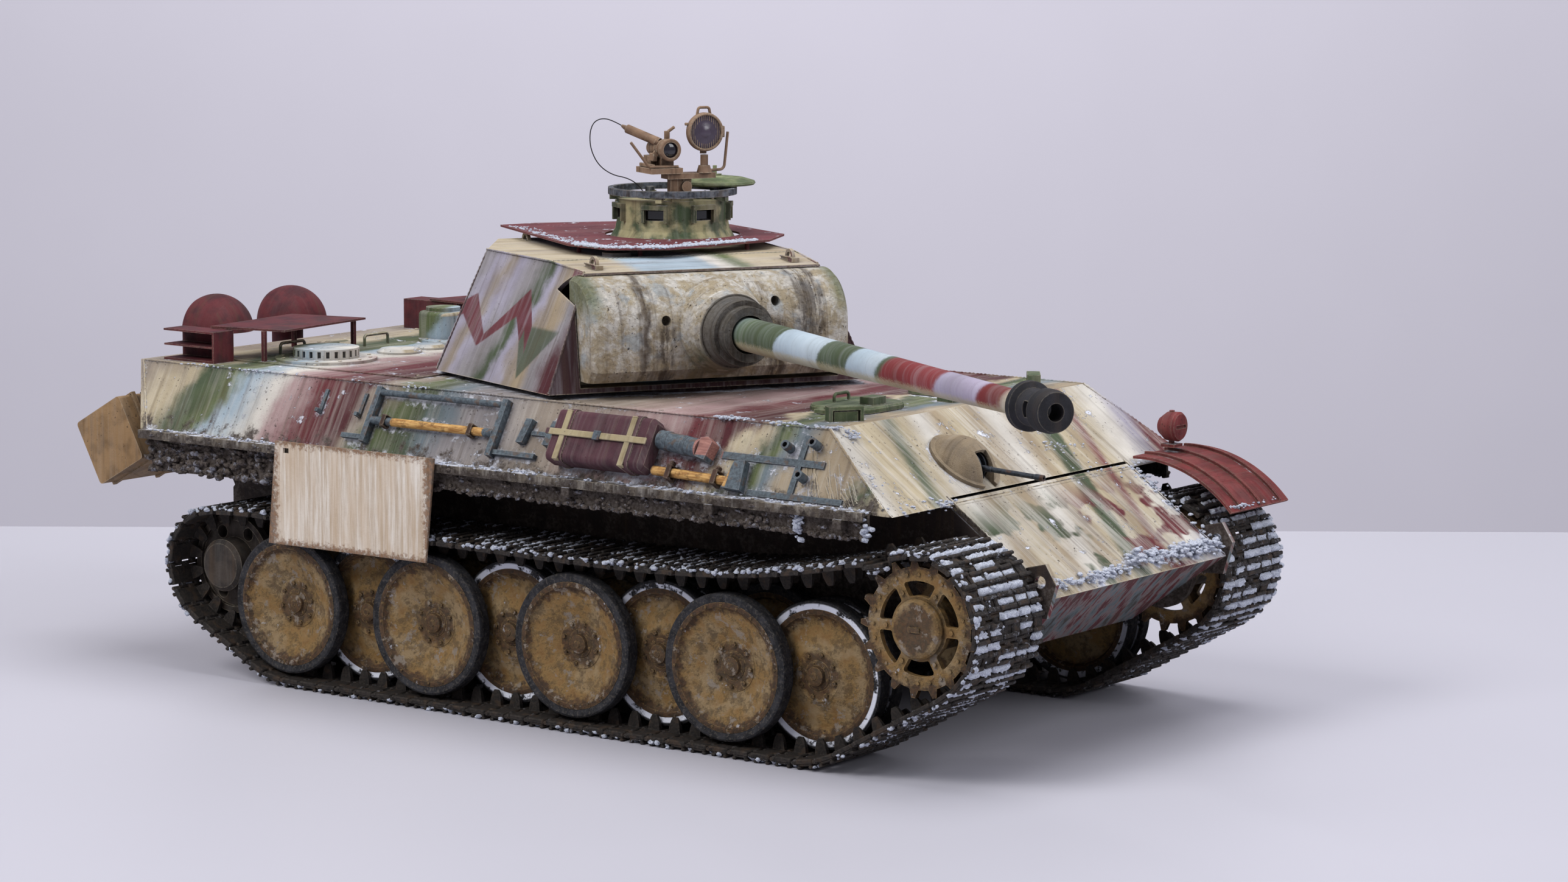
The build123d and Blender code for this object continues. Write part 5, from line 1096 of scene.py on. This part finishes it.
def make_hull_details():
    rng = np.random.default_rng(5)
    beads = Soup()
    for side in (-1, 1):
        lean = [(x, side * 82.2, 118.0) for x in (-212, 122)]
        weld(beads, lean, 0.42, rng)
        foot, top = (154.6, side * 96.0, glacis_z(156.0) + 0.3), (122.0, side * 82.0, 118.0)
        weld(beads, [foot, top], 0.6, rng)
        weld(beads, [(155.2, side * 58.1, glacis_z(155.2)), (199.6, side * 58.1, 63.0)], 0.5, rng)
        weld(beads, [(-198, side * 96.3, 93.2), (-213, side * 82.2, 117.8)], 0.5, rng)
    plate = side_frame(0, 0)
    for k in range(24):
        t = k / 23
        for row, (x0, lean) in enumerate(((128.0, 6.0), (136.0, 5.0), (143.0, 3.0))):
            low = 1.5 + 2.0 * math.sin(7 * t + row)
            high = low + (20.0 - 5.5 * row) * (0.75 + 0.25 * math.sin(5 * t + 2 * row))
            a, b = (x0 - lean * (1 - t), low, 0.05), (x0 - lean * (1 - t) - 5.5, high, 0.05)
            if k % 3 == row:
                weld(beads, [a, b], 0.32, rng, 0, plate)
    seam_x = 158.74
    seam = axes((seam_x, 0, glacis_z(seam_x)), (GLACIS_RUN, 0, -GLACIS_RISE), (GLACIS_RISE, 0, GLACIS_RUN))
    beads.brick((-0.8, -58.0, -0.15), (0.8, 58.0, 0.07), 0, seam, 0.05)
    beads.make("hull_welds", "hull", ["hull"], "hull_paint", smooth=50)

    bolts = Soup()
    for side in (-1, 1):
        for x in range(-185, 150, 22):
            bolts.bolt((x, side * 99.4, 93.3), 0.75, 0.6)
        for x in range(-70, 120, 38):
            bolts.bolt((x, side * 78.5, 117.95), 0.9, 0.5, sides=8)
    for fan_y in (-42.5, 42.5):
        bolts.bolt_circle((-152, fan_y, 119.75), 17.6, 12, 0.8, 0.55)
    for x, y in ((-195, -60), (-195, 60), (-142, -60), (-89, -60), (-89, 60), (-195, 0), (-89, 0)):
        bolts.bolt((x, y, 118.55), 0.9, 0.6)
    bolts.make("hull_bolts", "hull", ["hull"], "hull_paint")

    straps = Soup()
    at = side_frame(9, 3.2)
    for x in (4.0, 34.0):
        straps.brick((x, 0.3, 9.3), (x + 2.4, 19.2, 10.0), 0, at, 0.2)
        straps.brick((x, 18.6, 0.4), (x + 2.4, 19.4, 10.0), 0, at, 0.2)
        straps.brick((x, 0.0, 0.4), (x + 2.4, 0.8, 10.0), 0, at, 0.2)
    straps.brick((-1.0, 9.2, 9.6), (43.6, 11.6, 10.3), 0, at, 0.2)
    straps.brick((19.6, 8.6, 9.9), (22.8, 12.2, 10.8), 1, at, 0.25)
    clips = (  # frame, places along it, boxes as low and high corners, bevel
        (side_frame(54, 0), (7.0, 27.5), (
            ((0.0, 2.2, 0.05), (2.0, 8.2, 0.9), 0.2), ((0.0, 2.4, 0.4), (2.0, 3.1, 4.4), 0.2),
            ((0.0, 7.3, 0.4), (2.0, 8.0, 4.4), 0.2), ((-0.1, 2.4, 4.15), (2.1, 8.0, 4.75), 0.2),
            ((0.3, 8.0, 1.4), (1.7, 9.6, 4.2), 0.4))),
        (side_frame(-86, 0), (8.0, 50.5), (
            ((0.0, 10.8, 0.4), (2.0, 15.2, 1.2), 0.2), ((0.0, 10.6, 0.5), (2.0, 11.2, 4.1), 0.2),
            ((0.0, 14.8, 0.5), (2.0, 15.4, 4.1), 0.2), ((0.0, 10.8, 3.8), (2.0, 15.2, 4.3), 0.2))),
    )
    for place, starts, boxes in clips:
        for x in starts:
            for low, high, bevel in boxes:
                straps.brick((x + low[0], *low[1:]), (x + high[0], *high[1:]), 2, place, bevel)
    straps.make("stowage_straps", "hull", ["strap", "steel", "leather"], "steel")


def make_snow():
    """Pellets and drifts along edges and seams, and frosted mud under the fenders."""
    rng = np.random.default_rng(11)
    snow, mud = Soup(), Soup()
    for drift in (  # ends, pellets, spread, size
            ((72, -81.0, 118.4), (124, -80.0, 118.4), 150, (1.0, 1.6, 0.15), 0.75),
            ((125, -74.0, 117.0), (153, -93.0, 97.0), 40, (0.8, 1.5, 0.3), 0.7),
            ((-195, -99.3, 93.6), (150, -99.3, 93.6), 330, (1.0, 1.6, 0.3), 0.75),
            ((-195, -84.0, 118.3), (-60, -83.0, 118.3), 60, (1.0, 1.2, 0.2), 0.6),
            ((153, -96.0, 93.0), (158, -60.0, 93.0), 90, (1.6, 2.0, 1.0), 0.9),
            ((196.0, -56.0, 66.2), (196.0, -4.0, 66.2), 190, (1.8, 2.0, 0.9), 1.1),
            ((193.5, 2.0, 68.2), (195.5, 57.0, 67.0), 330, (2.6, 2.4, 1.2), 1.45),
            ((158, 58.5, 92.0), (198, 58.5, 66.0), 120, (1.2, 1.2, 1.0), 0.95),
            ((160, 100.5, 93.6), (199, 100.5, 79.0), 60, (1.0, 0.9, 0.5), 0.75),
            ((130, 10.0, 113.2), (170, 54.0, 85.2), 70, (3.0, 6.0, 0.2), 0.55),
            ((199.5, 63.0, 79.8), (199.5, 99.0, 79.8), 40, (0.8, 1.6, 0.4), 0.7),
    ):
        clump_line(snow, *drift, rng)
    for spot in ((121, -99.4, 88.0), (121, -99.2, 84.4), (149.4, -99.3, 87.0)):
        for _ in range(16):
            snow.lump(np.array(spot) + rng.normal(0, (1.0, 0.5, 1.8)), rng.uniform(0.6, 1.3), rng)
    for side in (-1, 1):
        for _ in range(520):
            z = rng.choice((rng.uniform(84.2, 91.6), 83.7))
            mud.lump((rng.uniform(-125, 150), side * rng.uniform(98.4, 99.0), z + rng.normal(0, 0.25)),
                     rng.uniform(0.6, 1.5), rng)
        for _ in range(260):
            mud.lump((rng.uniform(-196, 150), side * rng.uniform(99.2, 101.8), rng.uniform(91.4, 92.2)),
                     rng.uniform(0.6, 1.3), rng)
        for _ in range(300):
            x = rng.uniform(-196, -130)
            mud.lump((x, side * rng.uniform(94.8, 97.2), rng.uniform(77.5, 92.0)), rng.uniform(0.8, 2.1), rng)
        for _ in range(120):
            z = rng.uniform(80, 116)
            x = -200.8 - (z - 92) * 0.167 * 3.2
            if x < -196:
                mud.lump((max(x, -213.5), side * rng.uniform(72, 95 - max(0, (z - 93) * 0.55)), z),
                         rng.uniform(0.6, 1.7), rng)
    snow.make("snow_on_hull", "hull", ["snow"], "hull_paint", smooth=60)
    mud.make("frosted_mud", "hull", ["mud"], "hull_paint", smooth=60)

    roof = Soup()
    edge = np.array([[-4, -34], [18, -27], [26, -5], [9, 44]], float)
    heaps = rng.uniform(0.25, 3.0, 16)
    for _ in range(900):
        pick = float(np.clip(rng.choice(heaps) + rng.normal(0, 0.09), 0.05, 2.95))
        place = edge[int(pick)] + (edge[int(pick) + 1] - edge[int(pick)]) * (pick % 1)
        inward = abs(rng.normal(0, 3.2 if rng.random() < 0.75 else 9.0))
        roof.lump((place[0] - inward * 0.85 - 0.8, place[1] + (inward * 0.5 if pick < 1 else 0.0), 169.9),
                  rng.uniform(0.35, 1.1) * (0.6 if inward > 6 else 1.0), rng, 0, TURRET, 0.6)
    for _ in range(160):
        a = rng.uniform(-84, -8)
        roof.lump((a, -28.2 - (a + 92) * 0.068 + abs(rng.normal(0, 3.0)) + 1.4, 169.85),
                  rng.uniform(0.2, 0.6), rng, 0, TURRET, 0.5)
    roof.make("snow_on_roof", "turret", ["snow"], "red_oxide", smooth=60)


def make_turret_details():
    """Weld seams up the corners, along the roof edges and across the roof, and short welds on the roof."""
    rng = np.random.default_rng(23)
    s = Soup()
    base = [(54, 65), (-35, 76), (-85, 52)]
    roof = [(46, 47), (-35, 55), (-73.5, 36)]
    for side in (-1, 1):
        for (a0, b0), (a1, b1) in zip(base, roof):
            tip = 165.6 if a0 != 54 else 163.2
            weld(s, [(a0 - 0.3, side * b0, 120.6), (a1 + (0.2 if a0 == 54 else 0), side * b1, tip)], 0.5, rng,
                 0, TURRET)
        weld(s, [(-35, side * 55.2, 165.9), (19, side * 50.4, 165.9), (45.5, side * 47.4, 163.9)], 0.4, rng,
             0, TURRET)
    weld(s, [(20, -49.5, 165.9), (20, 49.5, 165.9)], 0.35, rng, 0, TURRET)
    for a, b in ((37, -40), (37, 40), (-66, -27), (-66, 27)):
        weld(s, [(a - 5, b - 1.8, 166.0), (a + 5, b - 1.8, 166.0)], 0.3, rng, 0, TURRET)
    s.make("turret_welds", "turret", ["turret"], "turret_paint", smooth=50)


def make_sight_details():
    """Glass, rings, clamps and knobs of the night sight, and the lamp's glass."""
    a0, b0, z0 = -13.5 + 4.4, 10.4, 204.0
    tube = TURRET @ axes((a0, b0, z0), (0, 1, 0), (1, 0, 0))
    s = Soup()
    s.lathe([(0.001, 0.25), (1.2, 0.16), (2.2, -0.1), (2.95, -0.5), (2.95, -0.75), (0.001, -0.75)], 1, tube,
            40, closed=False)
    for h, r in ((-2.4, 4.05), (-4.6, 4.05), (-9.0, 3.2), (-14.4, 3.25)):
        s.lathe([(r - 0.3, h - 0.35), (r, h - 0.2), (r, h + 0.2), (r - 0.3, h + 0.35)], 0, tube, 40)
    for k in range(14):
        angle = 2 * math.pi * k / 14
        s.brick((-0.22, 4.05, -1.3), (0.22, 4.35, 0.1), 0, tube @ turn_z(angle), 0.08)
    s.lathe([(4.2, -1.1), (4.36, -0.9), (4.36, 0.2), (4.2, 0.42), (3.7, 0.55), (3.1, 0.42), (3.05, 0.0)], 0,
            tube, 48, closed=False)
    for a, b, z in ((-15.5, 7.3, 206.6), (-18.5, 9.2, 207.4), (-14.0, 6.2, 202.4)):
        s.lathe([(0.001, -1.2), (0.9, -1.2), (1.0, -0.9), (1.0, 0.8), (0.7, 1.1), (0.001, 1.15)], 0,
                TURRET @ axes((a, b, z), (1, 0, 0), (-0.3, -0.8, 0.5)), 18, closed=False)
    s.brick((-17.6, 5.0, 199.4), (-13.4, 6.8, 202.6), 0, TURRET, 0.3)
    s.brick((-23.6, 3.4, 197.1), (-10.0, 4.4, 198.5), 0, TURRET, 0.2)
    for a in (-22, -18, -14, -11):
        s.bolt((a, 4.6, 197.05), 0.45, 0.4, 0, TURRET)
    s.make("sight_fittings", "turret", ["sight", "lens"], "sight_paint", smooth=40)

    lamp = Soup()
    front = TURRET @ axes((-12.0, 25.8, 210.5), (0, 1, 0), (1, 0, 0))
    lamp.lathe([(0.001, 1.55), (2.0, 1.5), (2.3, 1.3), (4.4, 1.32), (6.35, 1.05), (6.35, 0.92),
                (0.001, 0.92)], 1, front, 56, closed=False)
    for k in range(-13, 14):
        x = 0.46 * k
        half = math.sqrt(6.3 ** 2 - x ** 2)
        lamp.tube([(x, -half, 1.24), (x, half, 1.24)], 0.13, 1, front, 6)
    lamp.lathe([(6.35, 1.3), (6.5, 1.9), (6.9, 2.05), (7.35, 1.75), (7.5, 1.2), (7.5, -0.4), (7.3, -0.7),
                (6.9, -0.5)], 0, front, 56, closed=False)
    lamp.brick((7.2, -2.2, -1.0), (8.1, 2.2, 1.5), 0, front, 0.25)
    lamp.brick((-8.1, 2.6, -0.7), (-6.8, 3.7, 0.7), 0, front, 0.25)
    lamp.make("lamp_fittings", "ir_searchlight", ["sight", "lamp_glass"], "sight_paint", smooth=40)

    panes = Soup()
    for step in range(7):
        angle = 2 * math.pi / 7 * step + math.radians(10)
        at = TURRET @ shift(-31.0, 20.6, 0) @ turn_z(angle)
        panes.brick((19.6, -3.5, 176.8), (20.6, 3.5, 180.2), 0, at, 0.15)
        panes.brick((21.5, -4.2, 180.9), (23.0, 4.2, 181.7), 1, at, 0.2)
        panes.bolt((22.6, 3.9, 184.6), 0.5, 0.5, 1, at)
    panes.make("cupola_panes", "turret", ["pane", "cupola"], "turret_paint")


# ------------------------------------------------------------------ putting it together

NODE_LOOKS = {
    "hull": ("upper_hull", "engine_deck"),
    "socket": ("ball_socket",),
    "turret": ("turret_shell",),
    "mantlet": ("mantlet",),
    "gun": ("gun_barrel",),
    "muzzle": ("muzzle_brake",),
    "cupola": ("cupola",),
    "lid": ("cupola_hatch",),
    "roof": ("roof_shield",),
    "sight": ("ir_bracket", "ir_scope", "ir_searchlight"),
    "tub": ("lower_hull",),
    "arm": ("swing_arms", "final_drives"),
    "fender": ("fender_rails",),
    "duct": ("deck_shields", "exhaust_cowls"),
    "guard": ("front_mudguard", "headlight"),
    "green": ("driver_hatch", "radio_hatch", "hull_periscopes"),
    "bin": ("rear_bins",),
    "skirt": ("side_skirt",),
    "crate": ("stowage_crate",),
    "tool": ("hand_axe", "tool_rack"),
    "gun_steel": ("mg_ball", "mg_barrel"),
    "sprocket": ("sprocket_right", "sprocket_left"),
    "idler": ("idler_right", "idler_left"),
    "plastic": ("power_switch", "battery_cover", "gear_motors", "traverse_motor"),
    "battery": ("battery_pack",),
    "board": ("control_board",),
}

cable = make_cord()
cable.data.materials.append(LOOKS["cable"])
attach(cable, "turret")
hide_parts("ir_cord")
for look, names in NODE_LOOKS.items():
    for node in names:
        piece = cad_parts[node]
        piece.data.materials.clear()
        piece.data.materials.append(LOOKS[look])
make_tracks()
wheel_rng = np.random.default_rng(3)
for tag, side in (("r", -1), ("l", 1)):
    for number in range(1, 9):
        make_wheel(f"wheel_{tag}{number}", number, side, wheel_rng)
make_hull_details()
make_snow()
make_turret_details()
make_sight_details()

# ------------------------------------------------------------------ table, wall and light


def stage_sheet(name, corners, code, rough):
    mesh = bpy.data.meshes.new(name)
    mesh.from_pydata(corners, [], [(0, 1, 2, 3)])
    n = Look(name, rough=rough, specular=0.3)
    mesh.materials.append(n.done(n.mix(n.spots(0.5, 0.4, 0.004, 3.0), code, rgb(code, 1.03))))
    new_object(name, mesh)


ahead, across = Vector((-0.5948, 0.8039, 0)), Vector((0.8039, 0.5948, 0))
eye = Vector((CAMERA_AT.x, CAMERA_AT.y, 0))
EDGE, WALL_GAP, TABLE_HALF, WALL_HALF = 2.02, 4.2, 4.0, 6.0
near, far, wall = eye - ahead * 2.0, eye + ahead * EDGE, eye + ahead * (EDGE + WALL_GAP)
side = across * TABLE_HALF
stage_sheet("table_top", [near - side, near + side, far + side, far - side], "b6b5bf", 0.5)
side, foot, head = across * WALL_HALF, Vector((0, 0, -2)), Vector((0, 0, 4))
stage_sheet("back_wall", [wall - side + foot, wall + side + foot, wall + side + head, wall - side + head],
            "dcd9e3", 0.9)


def area_light(name, place, target, size, power, tint=(1, 1, 1)):
    data = bpy.data.lights.new(name, "AREA")
    data.shape, data.size, data.energy, data.color = "SQUARE", size, power, tint
    lamp = new_object(name, data)
    lamp.location = place
    lamp.rotation_euler = (Vector(target) - Vector(place)).to_track_quat("-Z", "Y").to_euler()


area_light("key", (-0.6, -1.6, 1.7), (0, 0, 0.08), 1.1, 34.0, (1.0, 0.99, 0.97))
area_light("fill", (1.9, 0.2, 1.3), (0, 0, 0.08), 1.2, 20.0, (0.96, 0.97, 1.0))
area_light("top", (0.1, 0.3, 2.0), (0, 0, 0.1), 1.6, 26.0)
area_light("wall_wash", tuple(wall - ahead * 1.6 + Vector((0, 0, 2.0))), tuple(wall - Vector((0, 0, 0.3))),
           1.8, 56.0, (0.97, 0.97, 1.0))
world = bpy.data.worlds.new("studio")
bpy.context.scene.world = world
world.use_nodes = True
world.node_tree.nodes["Background"].inputs[0].default_value = rgb("d9d8e2")
world.node_tree.nodes["Background"].inputs[1].default_value = 0.45
